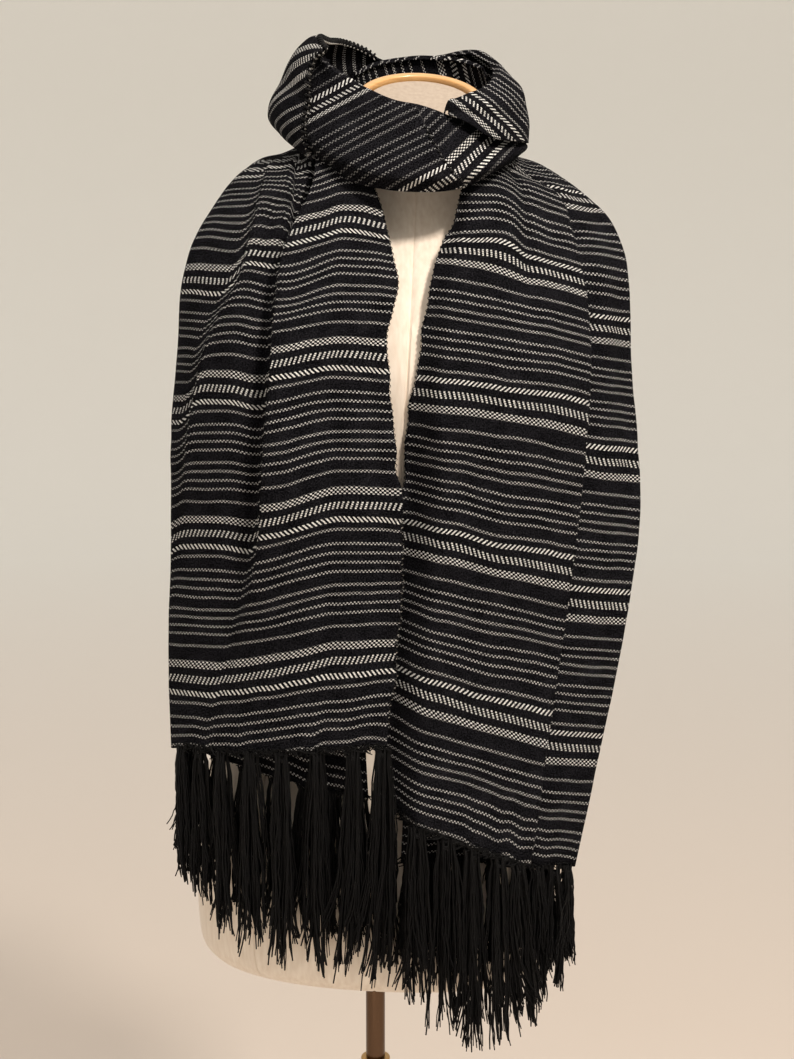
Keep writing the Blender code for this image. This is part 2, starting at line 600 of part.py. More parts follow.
def split_head(bm, face, side):
    """Cuts the underside of a tassel's head into three by two strand roots."""
    level = face.calc_center_median().z
    long_edges = [e for e in face.edges if abs((e.verts[1].co - e.verts[0].co).normalized().dot(side)) > 0.7]
    bmesh.ops.subdivide_edges(bm, edges=long_edges, cuts=2, use_grid_fill=True)
    near = [f for f in bm.faces if all(abs(v.co.z - level) < 1e-7 for v in f.verts)]
    edges = {e for f in near for e in f.edges}
    short_edges = [e for e in edges if abs((e.verts[1].co - e.verts[0].co).normalized().dot(side)) < 0.3]
    bmesh.ops.subdivide_edges(bm, edges=short_edges, cuts=1, use_grid_fill=True)
    return [f for f in bm.faces if all(abs(v.co.z - level) < 1e-7 for v in f.verts)]


def add_tassel(bm, face, frame, row, bends, chance):
    """A knotted head under one face of the strip, and six strands that fan out from it."""
    centre, along, _, down = frame
    side = Vector((along.x, along.y, 0.0)).normalized()
    depth = Vector((0.0, 0.0, 1.0)).cross(side)
    foot = centre + down * STRIP_HEIGHT
    half = row["half"]
    levels = ((0.0022, 0.55, 0.0013), (0.0052, 0.80, 0.0022), (KNOT_HEIGHT, 0.72, 0.0019))
    for drop, share, thick in levels:
        middle = foot - Vector((0.0, 0.0, drop))
        face = extruded(bm, face, level_rectangle(middle, side, depth, half * share, thick))
    root = face.calc_center_median()
    length = root.z - row["tip_z"]
    for strand in split_head(bm, face, side):
        start = strand.calc_center_median()
        across = round((start - root).dot(side) / (half * 0.48))
        through = math.copysign(1.0, (start - root).dot(depth))
        reach = length * chance.uniform(0.86, 1.0)
        for i in range(1, bends + 1):
            share = i / bends
            opened = share ** 0.7
            middle = start + side * (row["fan"] * across * opened + row["sway"] * share * share)
            middle += depth * through * 0.0035 * opened
            middle += side * chance.uniform(-0.0008, 0.0008) - Vector((0.0, 0.0, reach * share))
            width = 0.0016 - 0.0007 * share
            strand = extruded(bm, strand, level_rectangle(middle, side, depth, width, width * 0.9))


def tassel_row(name, hem, rows, bends, finish, seed):
    """Tassels along one stretch of hem, their heads fused into a narrow strip clear of the cloth."""
    chance = random.Random(seed)
    tassels = [dict(zip(TASSEL_COLUMNS, row)) for row in rows]
    rings = []
    for row in tassels:
        rings += [strip_ring(hem, row["place"], -row["half"]), strip_ring(hem, row["place"], row["half"])]
    bm = loft(rings)
    bm.verts.ensure_lookup_table()
    heads = []
    for i in range(len(tassels)):
        first, second = 8 * i, 8 * i + 4
        heads.append(bm.faces.get([bm.verts[j] for j in (first + 2, first + 3, second + 3, second + 2)]))
    for row, head in zip(tassels, heads):
        add_tassel(bm, head, hem_frame(hem, row["place"]), row, bends, chance)
    return finish_mesh(name, bm, finish)


def build_scarf(black):
    left = folded_end(table(TAIL_COLUMNS, TAIL_LEFT_SECTIONS), LEFT_FOLDS, 0.012, 0.64, 2.6, drop=0.007)
    right = folded_end(table(TAIL_COLUMNS, TAIL_RIGHT_SECTIONS), RIGHT_FOLDS, 0.008, 0.74, 1.5, curl=0.014)
    under = folded_end(table(TAIL_COLUMNS, TAIL_UNDER_SECTIONS), UNDER_FOLDS, 0.010, 0.42, 1.15, drop=0.006)
    cloth("tail_left", left, 25, 18, black)
    cloth("tail_right_front", right, 18, 18, black)
    cloth("tail_right_under", under, 20, 18, black)
    stretches = (
        ("collar_front", COLLAR_FRONT_SECTIONS, FRONT_WRAP_FOLDS, 10, 18),
        ("collar_left", COLLAR_LEFT_SECTIONS, LEFT_LOBE_FOLDS, 9, 17),
        ("collar_right", COLLAR_RIGHT_SECTIONS, RIGHT_LOBE_FOLDS, 9, 19),
        ("collar_back", COLLAR_BACK_SECTIONS, NO_FOLDS, 6, 12),
    )
    for name, rows, folds, across, along in stretches:
        cloth(name, collar_band(table(COLLAR_COLUMNS, rows), folds), across, along, black)
    fringes = (
        ("fringe_left", left, LEFT_TASSELS, 2),
        ("fringe_left_back", left, LEFT_BACK_TASSELS, 1),
        ("fringe_right", right, RIGHT_TASSELS, 2),
        ("fringe_right_side", under, RIGHT_SIDE_TASSELS, 2),
        ("fringe_right_back", under, RIGHT_BACK_TASSELS, 1),
    )
    for seed, (name, end, rows, bends) in enumerate(fringes):
        tassel_row(name, lambda place, end=end: end(place, 1.0), rows, bends, black, seed)


def main():
    clear_scene()
    linen = material("Natural linen", "D9CDBD", 0.85)
    wood = material("Varnished beech", "D9A662", 0.30)
    metal = material("Bronzed steel", "5A4634", 0.35, 1.0)
    brass = material("Brass", "B08D57", 0.30, 1.0)
    black = material("Black woven cotton", "16151A", 0.85)
    build_form(linen)
    build_neck_disc(linen)
    build_neck_ring(wood)
    build_stand(metal, brass)
    build_scarf(black)


main()
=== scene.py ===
# %% [markdown]
# # A black striped scarf on a dress form
# The object is one long handwoven scarf, folded lengthwise, wound round the neck of a limbless linen
# dress form, with knotted tassels at both ends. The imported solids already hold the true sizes, so this
# script loads them as a fixed frame and dresses them: each stretch of cloth becomes a fine sheet with its
# own folds and weave, each tassel becomes loose yarns, and the form and stand get their real finishes.

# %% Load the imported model
import math
import random

import bmesh
import bpy
import numpy as np
from mathutils import Matrix, Vector


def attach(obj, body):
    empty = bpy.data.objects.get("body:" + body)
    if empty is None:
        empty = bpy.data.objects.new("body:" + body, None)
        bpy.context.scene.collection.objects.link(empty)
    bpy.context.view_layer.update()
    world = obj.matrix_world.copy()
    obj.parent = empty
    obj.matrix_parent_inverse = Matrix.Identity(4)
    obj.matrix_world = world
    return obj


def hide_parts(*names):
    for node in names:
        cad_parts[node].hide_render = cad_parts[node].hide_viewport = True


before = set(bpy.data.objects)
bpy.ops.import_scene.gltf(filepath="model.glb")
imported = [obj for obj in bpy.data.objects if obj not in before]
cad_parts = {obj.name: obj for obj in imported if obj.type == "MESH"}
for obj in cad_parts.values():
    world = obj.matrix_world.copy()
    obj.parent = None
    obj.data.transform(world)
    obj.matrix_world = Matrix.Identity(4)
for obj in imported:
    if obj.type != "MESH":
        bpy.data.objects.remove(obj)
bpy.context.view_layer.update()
MM = 0.001

# %% [markdown]
# ## The camera
# The picture was taken from chest height at about one and a half metres, looking a little down. A lens of
# 57.6 mm on a 36 mm sensor gives the same perspective, so the near ends look larger than the far collar.

# %% Place the camera
camera_data = bpy.data.cameras.new("Camera")
camera_data.lens = 57.6
camera_data.sensor_width = 36.0
camera = bpy.data.objects.new("Camera", camera_data)
camera.location = (0.0208, -1.558, 1.3227)
camera.rotation_euler = (math.radians(82.0), 0.0, 0.0)
bpy.context.scene.collection.objects.link(camera)
bpy.context.scene.camera = camera
print("camera looks down by 8 degrees from", tuple(camera.location))

# %% [markdown]
# ## The studio
# A pale seamless sweep stands in for the beige wall and floor. It is a turned bowl, so it is behind the
# object from every side. A key light from the upper right draws the collar's shadow on the chest, while
# a wide soft light above, a weak one below and a pale sky keep the black cloth readable.

# %% Turn the floor and sweep
def linear(hex_colour):
    """An sRGB hex colour as linear red, green, blue and alpha."""
    channels = [int(hex_colour[i:i + 2], 16) / 255 for i in (0, 2, 4)]
    return tuple(c / 12.92 if c <= 0.04045 else ((c + 0.055) / 1.055) ** 2.4 for c in channels) + (1.0,)


def add_node(tree, kind, settings=None, links=None, stops=()):
    """Adds a node with its settings, its links from other nodes' outputs, and the colour stops of a ramp."""
    node = tree.nodes.new(kind)
    for name, value in (settings or {}).items():
        if isinstance(name, int) or name in node.inputs:
            node.inputs[name].default_value = value
        else:
            setattr(node, name, value)
    for name, output in (links or {}).items():
        tree.links.new(output, node.inputs[name])
    for i, (position, colour) in enumerate(stops):
        node.color_ramp.elements[i].position = position
        node.color_ramp.elements[i].color = linear(colour)
    return node


def new_material(name):
    """A material with its node tree and its Principled shader."""
    made = bpy.data.materials.new(name)
    made.use_nodes = True
    return made, made.node_tree, made.node_tree.nodes["Principled BSDF"]


# Matt wall paint: chalky, with no shine. Its tone goes from a warm beige near the object to near white.
# The deeper tone near the object is painted shade, to hold down the floor there, which the lamps light most.
painted_wall, tree, shader = new_material("Matt wall paint")
place = add_node(tree, "ShaderNodeTexCoord").outputs["Object"]
away = add_node(tree, "ShaderNodeVectorMath", {"operation": "LENGTH"}, {0: place}).outputs["Value"]
fading = add_node(tree, "ShaderNodeMapRange", {"From Min": 1.5, "From Max": 7.0}, {"Value": away})
tone = add_node(
    tree, "ShaderNodeMix", {"data_type": "RGBA", "A": linear("D6CBC0"), "B": linear("ECECE8")},
    {"Factor": fading.outputs[0]},
)
tree.links.new(tone.outputs["Result"], shader.inputs["Base Color"])
shader.inputs["Roughness"].default_value = 0.9

SWEEP_FLOOR = 7.0
SWEEP_CORNER = 2.5
SWEEP_TOP = 6.0
bm = bmesh.new()
profile = [bm.verts.new((r, 0.0, 0.0)) for r in (0.0, 2.0, SWEEP_FLOOR)]
for i in range(1, 9):
    turn = math.radians(90 * i / 8)
    side, rise = SWEEP_CORNER * math.sin(turn), SWEEP_CORNER * (1 - math.cos(turn))
    profile.append(bm.verts.new((SWEEP_FLOOR + side, 0.0, rise)))
profile.append(bm.verts.new((SWEEP_FLOOR + SWEEP_CORNER, 0.0, SWEEP_TOP)))
edges = [bm.edges.new(pair) for pair in zip(profile, profile[1:])]
bmesh.ops.spin(
    bm, geom=profile + edges, cent=(0, 0, 0), axis=(0, 0, 1), angle=2 * math.pi, steps=64, use_merge=True
)
bmesh.ops.remove_doubles(bm, verts=bm.verts, dist=0.0001)
bmesh.ops.recalc_face_normals(bm, faces=bm.faces)
mesh = bpy.data.meshes.new("sweep")
bm.to_mesh(mesh)
bm.free()
mesh.shade_smooth()
mesh.materials.append(painted_wall)
sweep = bpy.data.objects.new("sweep", mesh)
bpy.context.scene.collection.objects.link(sweep)
print("sweep faces:", len(mesh.polygons))

# %% Hang the lights
LIGHT_COLUMNS = ("name", "place", "aim", "size", "watts", "colour")
LIGHTS = (
    ("Key", (0.95, -1.70, 3.05), (0.02, 0.0, 1.10), 0.35, 80, "FFF3E6"),
    ("Ceiling", (0.20, -1.60, 3.40), (0.0, 0.0, 1.10), 2.0, 18, "FFF8F0"),
    ("Low fill", (-0.80, -2.60, 0.35), (0.0, 0.0, 0.80), 1.2, 7, "FFEBD8"),
)
for light in LIGHTS:
    row = dict(zip(LIGHT_COLUMNS, light))
    lamp = bpy.data.lights.new(row["name"], "AREA")
    lamp.shape = "DISK"
    lamp.size = row["size"]
    lamp.energy = row["watts"]
    lamp.color = linear(row["colour"])[:3]
    hung = bpy.data.objects.new(row["name"], lamp)
    hung.location = row["place"]
    hung.rotation_euler = (Vector(row["aim"]) - Vector(row["place"])).to_track_quat("-Z", "Y").to_euler()
    hung.visible_camera = False
    bpy.context.scene.collection.objects.link(hung)
world = bpy.data.worlds.new("Pale sky")
world.use_nodes = True
world.node_tree.nodes["Background"].inputs["Color"].default_value = linear("F6EDE4")
world.node_tree.nodes["Background"].inputs["Strength"].default_value = 0.92
bpy.context.scene.world = world
bpy.context.scene.view_settings.view_transform = "Standard"
print("lights:", [light[0] for light in LIGHTS])

# %% [markdown]
# ## How a length of cloth is described
# A draped scarf is easiest to make as a sheet whose points follow a table of sections, as a tailor would
# read a chest, a waist and a hem. A smooth curve joins the rows, so a short table gives a long soft drape.
# The same tables made the solids, so each fine sheet lies where its solid does.

# %% Read section tables
def table(columns, rows):
    """Named columns of a section table as arrays."""
    values = np.array(rows, dtype=float)
    return {name: values[:, i] for i, name in enumerate(columns)}


def smooth(values, place):
    """Values at fractional rows, on a Catmull-Rom curve through all rows."""
    values = np.asarray(values, dtype=float)
    last = len(values) - 1
    place = np.clip(np.asarray(place, dtype=float), 0.0, last)
    low = np.minimum(place.astype(int), last - 1)
    t = place - low
    ends = np.concatenate(([2 * values[0] - values[1]], values, [2 * values[-1] - values[-2]]))
    before, a, b, after = (ends[low + i] for i in range(4))
    return 0.5 * (
        2 * a + (b - before) * t + (2 * before - 5 * a + 4 * b - after) * t ** 2
        + (3 * a - before - 3 * b + after) * t ** 3
    )


def smooth_rows(values, place):
    """A Catmull-Rom curve down the first axis of an array, whose other axes match those of the places."""
    last = len(values) - 1
    low = np.minimum(place.astype(int), last - 1)
    t = place - low
    ends = np.concatenate(([2 * values[0] - values[1]], values, [2 * values[-1] - values[-2]]))
    before, a, b, after = (np.take_along_axis(ends, (low + i)[None], axis=0)[0] for i in range(4))
    return 0.5 * (
        2 * a + (b - before) * t + (2 * before - 5 * a + 4 * b - after) * t ** 2
        + (3 * a - before - 3 * b + after) * t ** 3
    )


def ease(x):
    """Smooth rise from 0 to 1 between x = 0 and x = 1."""
    x = np.clip(x, 0.0, 1.0)
    return x * x * (3 - 2 * x)


def soft_noise(x, y, size, seed):
    """Smooth unevenness from -1 to 1 whose bumps are about that size, the same on every run."""
    lattice = np.random.default_rng(seed).uniform(-1, 1, (64, 64))
    x, y = np.asarray(x) / size + 16.0, np.asarray(y) / size + 16.0
    left, low = np.floor(x).astype(int), np.floor(y).astype(int)
    tx, ty = ease(x - left), ease(y - low)
    corners = [lattice[(left + i) % 64, (low + j) % 64] for i in (0, 1) for j in (0, 1)]
    near = corners[0] * (1 - ty) + corners[1] * ty
    far = corners[2] * (1 - ty) + corners[3] * ty
    return near * (1 - tx) + far * tx


# %% [markdown]
# ## Finishes
# Each finish is a small node tree on one shader. The linen is a plain weave with slubs, the beech has long
# grain under a glossy varnish, and the stand is brown bronzed steel with a plain brass collar. A weave's
# height is sums and sines of places on the cloth, so it is written as a recipe with one step in each row.

# %% Make linen, beech, steel and brass
def reckon(tree, known, recipe):
    """Adds a Math node for each row: a name for its result, what it does, then known names or numbers."""
    for name, operation, *inputs in recipe:
        numbers = {i: value for i, value in enumerate(inputs) if value not in known}
        links = {i: known[value] for i, value in enumerate(inputs) if value in known}
        known[name] = add_node(tree, "ShaderNodeMath", {"operation": operation, **numbers}, links).outputs[0]


# Natural linen: pale warm grey, no shine, slubs as long faint streaks. Its threads are 0.8 mm thick.
LINEN_THREADS = 1.6 * MM
linen, tree, shader = new_material("Natural linen")
place = add_node(tree, "ShaderNodeTexCoord").outputs["Object"]
slub_size = add_node(tree, "ShaderNodeMapping", {"Scale": (260.0, 260.0, 38.0)}, {"Vector": place})
slubs = add_node(tree, "ShaderNodeTexNoise", {"Scale": 1.0, "Detail": 3.0}, {"Vector": slub_size.outputs[0]})
slub_colours = ((0.30, "D5C8B9"), (0.72, "E2D8CB"))
shade = add_node(tree, "ShaderNodeValToRGB", {"name": "Slub colours"}, {0: slubs.outputs[0]}, slub_colours)
tree.links.new(shade.outputs[0], shader.inputs["Base Color"])
split = add_node(tree, "ShaderNodeSeparateXYZ", links={0: place})
known = {"x": split.outputs["X"], "z": split.outputs["Z"]}
reckon(tree, known, (
    ("x turns", "MULTIPLY", "x", 2 * math.pi / LINEN_THREADS),
    ("z turns", "MULTIPLY", "z", 2 * math.pi / LINEN_THREADS),
    ("warp", "SINE", "x turns"),
    ("weft", "SINE", "z turns"),
    ("woven", "MULTIPLY", "warp", "weft"),
    ("height", "MULTIPLY", "woven", 0.5),
))
bump = add_node(tree, "ShaderNodeBump", {"Strength": 0.25, "Distance": 0.2 * MM}, {"Height": known["height"]})
tree.links.new(bump.outputs[0], shader.inputs["Normal"])
shader.inputs["Roughness"].default_value = 0.88
shader.inputs["Sheen Weight"].default_value = 0.15

# Varnished beech: honey brown with fine grain, a clear coat gives the thin bright highlight.
beech, tree, shader = new_material("Varnished beech")
place = add_node(tree, "ShaderNodeTexCoord").outputs["Object"]
grain_size = add_node(tree, "ShaderNodeMapping", {"Scale": (60.0, 60.0, 420.0)}, {"Vector": place})
grain = add_node(tree, "ShaderNodeTexNoise", {"Scale": 1.0, "Detail": 4.0}, {"Vector": grain_size.outputs[0]})
shade = add_node(
    tree, "ShaderNodeValToRGB", links={0: grain.outputs[0]}, stops=((0.0, "AC7B45"), (1.0, "DAAE72"))
)
tree.links.new(shade.outputs[0], shader.inputs["Base Color"])
shader.inputs["Roughness"].default_value = 0.38
shader.inputs["Coat Weight"].default_value = 0.8
shader.inputs["Coat Roughness"].default_value = 0.12

# Bronzed steel: brown metal, smooth enough for long soft highlights down the pole.
steel, tree, shader = new_material("Bronzed steel")
shader.inputs["Base Color"].default_value = linear("5E4A3A")
shader.inputs["Metallic"].default_value = 1.0
shader.inputs["Roughness"].default_value = 0.25

# Brass: a warmer, paler metal for the height collar.
brass, tree, shader = new_material("Brass")
shader.inputs["Base Color"].default_value = linear("B8935C")
shader.inputs["Metallic"].default_value = 1.0
shader.inputs["Roughness"].default_value = 0.28
print("finishes:", [m.name for m in (linen, beech, steel, brass)])

# %% [markdown]
# ## The weave
# The cloth is black cotton with white weft stripes. Three bold stripes of slanting white floats come
# first, then a single fine dotted stripe, two groups of four and one more. The whole repeat is 132.6 mm,
# or 102 picks of 1.3 mm. It is charted by pick, and the floats step sideways with each row as in a twill.
# The bold floats lie 3.9 mm apart, as on the real cloth. The true threads of the ground are about half a
# millimetre and the fine floats lie 2.0 mm apart. Both are too fine to show in the render, so the threads
# are drawn at 1.3 mm and the fine floats at 3.1 mm.

# %% Chart the striped weave
PICK = 1.3 * MM
REPEAT = 102
BOLD_A, BOLD_B, BOLD_C, FINE, GROUND = 1.0, 0.75, 0.5, 0.25, 0.0
STRIPE_COLUMNS = ("first", "after", "kind")
BOLD_STRIPES = ((0.4, 4.2, BOLD_A), (9.4, 14.6, BOLD_B), (19.2, 24.4, BOLD_C))
FINE_FIRSTS = (34, 43, 49, 55, 61, 70, 76, 82, 88, 97)
FINE_PICKS = 2
STRIPES = BOLD_STRIPES + tuple((first, first + FINE_PICKS, FINE) for first in FINE_FIRSTS)
BOLD_PITCH, FINE_PITCH = 3.9 * MM, 3.1 * MM
FLOAT_COLUMNS = ("name", "kind", "first", "row", "thick", "slant", "pitch", "share")
FLOATS = (
    ("bold a", BOLD_A, 0.4, 0.0, 0.0, 0.80, BOLD_PITCH, 0.42),
    ("bold b", BOLD_B, 9.4, 1.3, 0.72, -0.42, BOLD_PITCH, 0.40),
    ("bold c", BOLD_C, 19.2, 1.3, 0.74, 1.05, BOLD_PITCH, 0.44),
    ("fine", FINE, 34.0, 1.0, 0.78, 1.19, FINE_PITCH, 0.44),
)
print("stripes in a repeat:", len(STRIPES), "repeat:", round(REPEAT * PICK / MM, 1), "mm")

# %% Find where the white floats lie
woven, tree, shader = new_material("Black striped cotton")
thread_map = add_node(tree, "ShaderNodeUVMap", {"uv_map": "Weave"}).outputs[0]
split = add_node(tree, "ShaderNodeSeparateXYZ", links={0: thread_map})
known = {"across": split.outputs[0], "along": split.outputs[1]}
PICKS_AT_HEM = 2.5
reckon(tree, known, (
    ("picks", "DIVIDE", "along", PICK),
    ("counted", "ADD", "picks", PICKS_AT_HEM),
    ("pick", "FLOORED_MODULO", "counted", REPEAT),
    ("place", "DIVIDE", "pick", REPEAT),
))
chart = add_node(tree, "ShaderNodeValToRGB", links={0: known["place"]})
chart.color_ramp.interpolation = "CONSTANT"
for stripe in STRIPES:
    row = dict(zip(STRIPE_COLUMNS, stripe))
    for pick, shade in ((row["first"], row["kind"]), (row["after"], GROUND)):
        chart.color_ramp.elements.new(pick / REPEAT).color = (shade, shade, shade, 1.0)
for end in (chart.color_ramp.elements[0], chart.color_ramp.elements[-1]):
    end.color = (0.0, 0.0, 0.0, 1.0)
known["kind"] = chart.outputs[0]
for floats in FLOATS:
    row = dict(zip(FLOAT_COLUMNS, floats))
    known["level"] = known["along"]
    recipe = [("mask", "COMPARE", "kind", row["kind"], 0.1)]
    if row["row"]:
        recipe += [
            ("past first", "SUBTRACT", "pick", row["first"]),
            ("rows", "DIVIDE", "past first", row["row"]),
            ("whole rows", "FLOOR", "rows"),
            ("level", "MULTIPLY", "whole rows", row["row"] * PICK),
            ("in row", "FRACT", "rows"),
            ("yarn", "COMPARE", "in row", 0.5, row["thick"] / 2),
            ("mask", "MULTIPLY", "mask", "yarn"),
        ]
    reckon(tree, known, recipe + [
        ("slanted", "MULTIPLY_ADD", "level", row["slant"], "across"),
        ("pitches", "DIVIDE", "slanted", row["pitch"]),
        ("in pitch", "FRACT", "pitches"),
        ("float", "LESS_THAN", "in pitch", row["share"]),
        (row["name"], "MULTIPLY", "mask", "float"),
    ])
print("kinds of float:", [floats[0] for floats in FLOATS])

# %% Colour and raise the threads
# Handwoven cotton: a dull black ground with fuzz. The floats are undyed cotton and stand above the ground.
for name, scale in (("fuzz", 800.0), ("patchy", 60.0)):
    noise = add_node(tree, "ShaderNodeTexNoise", {"Scale": scale, "Detail": 2.0}, {"Vector": thread_map})
    known[name] = noise.outputs[0]
reckon(tree, known, (
    ("bold", "MAXIMUM", "bold a", "bold b"),
    ("bold", "MAXIMUM", "bold", "bold c"),
    ("half picks", "ADD", "picks", 0.5),
    ("in pick", "FRACT", "half picks"),
    ("weft turn", "MULTIPLY", "in pick", math.pi),
    ("weft", "SINE", "weft turn"),
    ("warp turn", "MULTIPLY", "across", 2 * math.pi / PICK),
    ("warp", "SINE", "warp turn"),
    ("fuzz height", "MULTIPLY", "fuzz", 0.8),
    ("patch height", "MULTIPLY", "patchy", 0.2),
    ("speckle", "ADD", "fuzz height", "patch height"),
    ("weft height", "MULTIPLY", "weft", 0.6),
    ("warp height", "MULTIPLY", "warp", 0.25),
    ("float height", "MULTIPLY", "bold", 0.8),
    ("height", "ADD", "weft height", "warp height"),
    ("height", "ADD", "height", "fuzz height"),
    ("height", "ADD", "height", "float height"),
))
ground = add_node(
    tree, "ShaderNodeValToRGB", links={0: known["speckle"]}, stops=((0.42, "020203"), (0.66, "202024"))
)
colour = ground.outputs[0]
FLOAT_WHITES = (("bold", (0.30, "6E6E6E"), (0.58, "CFCFCD")), ("fine", (0.30, "525253"), (0.62, "B4B4B3")))
for name, *stops in FLOAT_WHITES:
    white = add_node(tree, "ShaderNodeValToRGB", {"name": name + " white"}, {0: known["fuzz"]}, stops)
    links = {"Factor": known[name], "A": colour, "B": white.outputs[0]}
    colour = add_node(tree, "ShaderNodeMix", {"data_type": "RGBA"}, links).outputs["Result"]
tree.links.new(colour, shader.inputs["Base Color"])
bump = add_node(tree, "ShaderNodeBump", {"Strength": 0.6, "Distance": 0.4 * MM}, {"Height": known["height"]})
tree.links.new(bump.outputs[0], shader.inputs["Normal"])
shader.inputs["Roughness"].default_value = 0.9
shader.inputs["Specular IOR Level"].default_value = 0.02

# The cloth is drawn tight round the neck, so its fine floats are pulled in and look thinner.
# Their darker grey is also painted shade: the light from above leaves the wrap's face in shade.
tight_and_shaded = woven.copy()
tight_and_shaded.name = "Black striped cotton, drawn tight, painted shade"
for stop, colour in zip(tight_and_shaded.node_tree.nodes["fine white"].color_ramp.elements, ("38383A", "7A7A7A")):
    stop.color = linear(colour)
print("cloth nodes:", len(tree.nodes))

# %% [markdown]
# ## The dress form and its stand
# A dress form is a padded body covered with linen panels, which meet in vertical seams. The panels are
# sewn, so each seam is a shallow groove. The body is lofted from the same sections as the solid, finer.

# %% Loft the body with its seams
FORM_BOTTOM = 0.690
FORM_LEAN = math.radians(3.0)
NECK_TILT = 30.0
SEAM_GAP = 0.0004
FORM_COLUMNS = ("height", "centre_y", "half_width", "front", "back", "tilt")
FORM_SECTIONS = (
    (0.690, 0.000, 0.138, 0.083, 0.084, 0.0),
    (0.698, 0.000, 0.158, 0.100, 0.101, 0.0),
    (0.722, 0.000, 0.169, 0.108, 0.111, 0.0),
    (0.800, 0.000, 0.173, 0.111, 0.116, 0.0),
    (0.900, 0.000, 0.162, 0.106, 0.107, 0.0),
    (0.990, 0.000, 0.136, 0.097, 0.088, 0.0),
    (1.060, 0.000, 0.127, 0.093, 0.080, 0.0),
    (1.140, 0.000, 0.135, 0.101, 0.084, 0.0),
    (1.220, 0.000, 0.152, 0.118, 0.092, 0.0),
    (1.270, 0.000, 0.164, 0.119, 0.097, 0.0),
    (1.320, 0.000, 0.178, 0.104, 0.098, 0.0),
    (1.352, 0.000, 0.187, 0.090, 0.094, 0.0),
    (1.372, 0.000, 0.182, 0.079, 0.087, 0.0),
    (1.390, 0.000, 0.156, 0.070, 0.079, 0.0),
    (1.405, 0.000, 0.125, 0.064, 0.073, 2.0),
    (1.420, -0.001, 0.094, 0.059, 0.067, 6.0),
    (1.436, -0.004, 0.071, 0.056, 0.061, 12.0),
    (1.455, -0.009, 0.060, 0.054, 0.056, 20.0),
    (1.486, -0.018, 0.0565, 0.0565, 0.0565, NECK_TILT),
)
SEAM_ANGLES = (-90.0, -128.0, -52.0, 180.0, 0.0, 90.0, 52.0, 128.0)
OVAL_POWER = 2 / 2.3
GROOVE_DEPTH, GROOVE_TURN = 0.020, 0.004
SEAM_SIDES = (-0.006, 0.0, 0.006)
BODY_RINGS, RING_POINTS = 110, 288


def place_piece(name, data, replaced):
    """Makes a mesh or a curve a piece that takes the place of solids and moves with them."""
    piece = bpy.data.objects.new(name, data)
    bpy.context.scene.collection.objects.link(piece)
    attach(piece, "root")
    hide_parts(replaced)
    return piece


def finish_piece(name, bm, finish, replaced, smooth_angle=40.0):
    """Turns a closed bmesh into a piece with its finish."""
    bmesh.ops.recalc_face_normals(bm, faces=bm.faces)
    mesh = bpy.data.meshes.new(name)
    bm.to_mesh(mesh)
    bm.free()
    mesh.shade_smooth()
    mesh.set_sharp_from_angle(angle=math.radians(smooth_angle))
    mesh.materials.append(finish)
    return place_piece(name, mesh, replaced)


def lean(point):
    """Leans a point of the upright form towards the viewer's right, about the middle of its bottom."""
    foot = Vector((0.0, 0.0, FORM_BOTTOM))
    return Matrix.Rotation(FORM_LEAN, 4, "Y") @ (Vector(point) - foot) + foot


def form_ring(section):
    """Points round one section of the body, a rounded oval with a shallow groove at each seam."""
    angles = np.linspace(0, 2 * math.pi, RING_POINTS, endpoint=False)
    seams = np.radians(SEAM_ANGLES) % (2 * math.pi)
    near_seams = (seams[:, None] + np.array(SEAM_SIDES)[None, :]).ravel() % (2 * math.pi)
    angles = np.unique(np.round(np.concatenate((angles, near_seams)), 6))
    gaps = np.abs(np.angle(np.exp(1j * (angles[:, None] - seams[None, :])))).min(axis=1)
    groove = 1 - GROOVE_DEPTH * np.exp(-((gaps / GROOVE_TURN) ** 2))
    side, depth = np.cos(angles), np.sin(angles)
    x = np.sign(side) * np.abs(side) ** OVAL_POWER * section["half_width"] * groove
    reach = np.where(depth > 0, section["back"], section["front"])
    y = np.sign(depth) * np.abs(depth) ** OVAL_POWER * reach * groove
    tilt = math.radians(section["tilt"])
    rows = zip(x, section["centre_y"] + y * math.cos(tilt), section["height"] + y * math.sin(tilt))
    return [lean(row) for row in rows]


def loft(rings):
    """Joins rings of equal length into one closed skin with both ends capped."""
    bm = bmesh.new()
    loops = []
    for ring in rings:
        verts = [bm.verts.new(p) for p in ring]
        loops.append([bm.edges.new((verts[i - 1], verts[i])) for i in range(len(verts))])
    for low, high in zip(loops, loops[1:]):
        bmesh.ops.bridge_loops(bm, edges=low + high)
    for end in (loops[0], loops[-1]):
        bmesh.ops.contextual_create(bm, geom=end)
    return bm


sections = table(FORM_COLUMNS, FORM_SECTIONS)
places = np.linspace(0, len(FORM_SECTIONS) - 1, BODY_RINGS)
rings = [form_ring({name: float(smooth(v, p)) for name, v in sections.items()}) for p in places]
body = finish_piece("dress_form", loft(rings), linen, "form_body")
print("body faces:", len(body.data.polygons))

# %% [markdown]
# ## The neck's top, the pole and the base
# These parts are turned on a lathe, so each one is a profile spun round its axis. The ring is steam-bent
# beech with rounded corners, and the linen disc lies inside it.

# %% Turn the ring, disc and stand
def neck_top_frame(raise_by):
    """Frame on the tilted top of the neck, raised along its normal."""
    top = dict(zip(FORM_COLUMNS, FORM_SECTIONS[-1]))
    centre = lean((0.0, top["centre_y"], top["height"]))
    turn = Matrix.Rotation(FORM_LEAN, 4, "Y") @ Matrix.Rotation(math.radians(NECK_TILT), 4, "X")
    return Matrix.Translation(centre) @ turn @ Matrix.Translation((0, 0, raise_by))


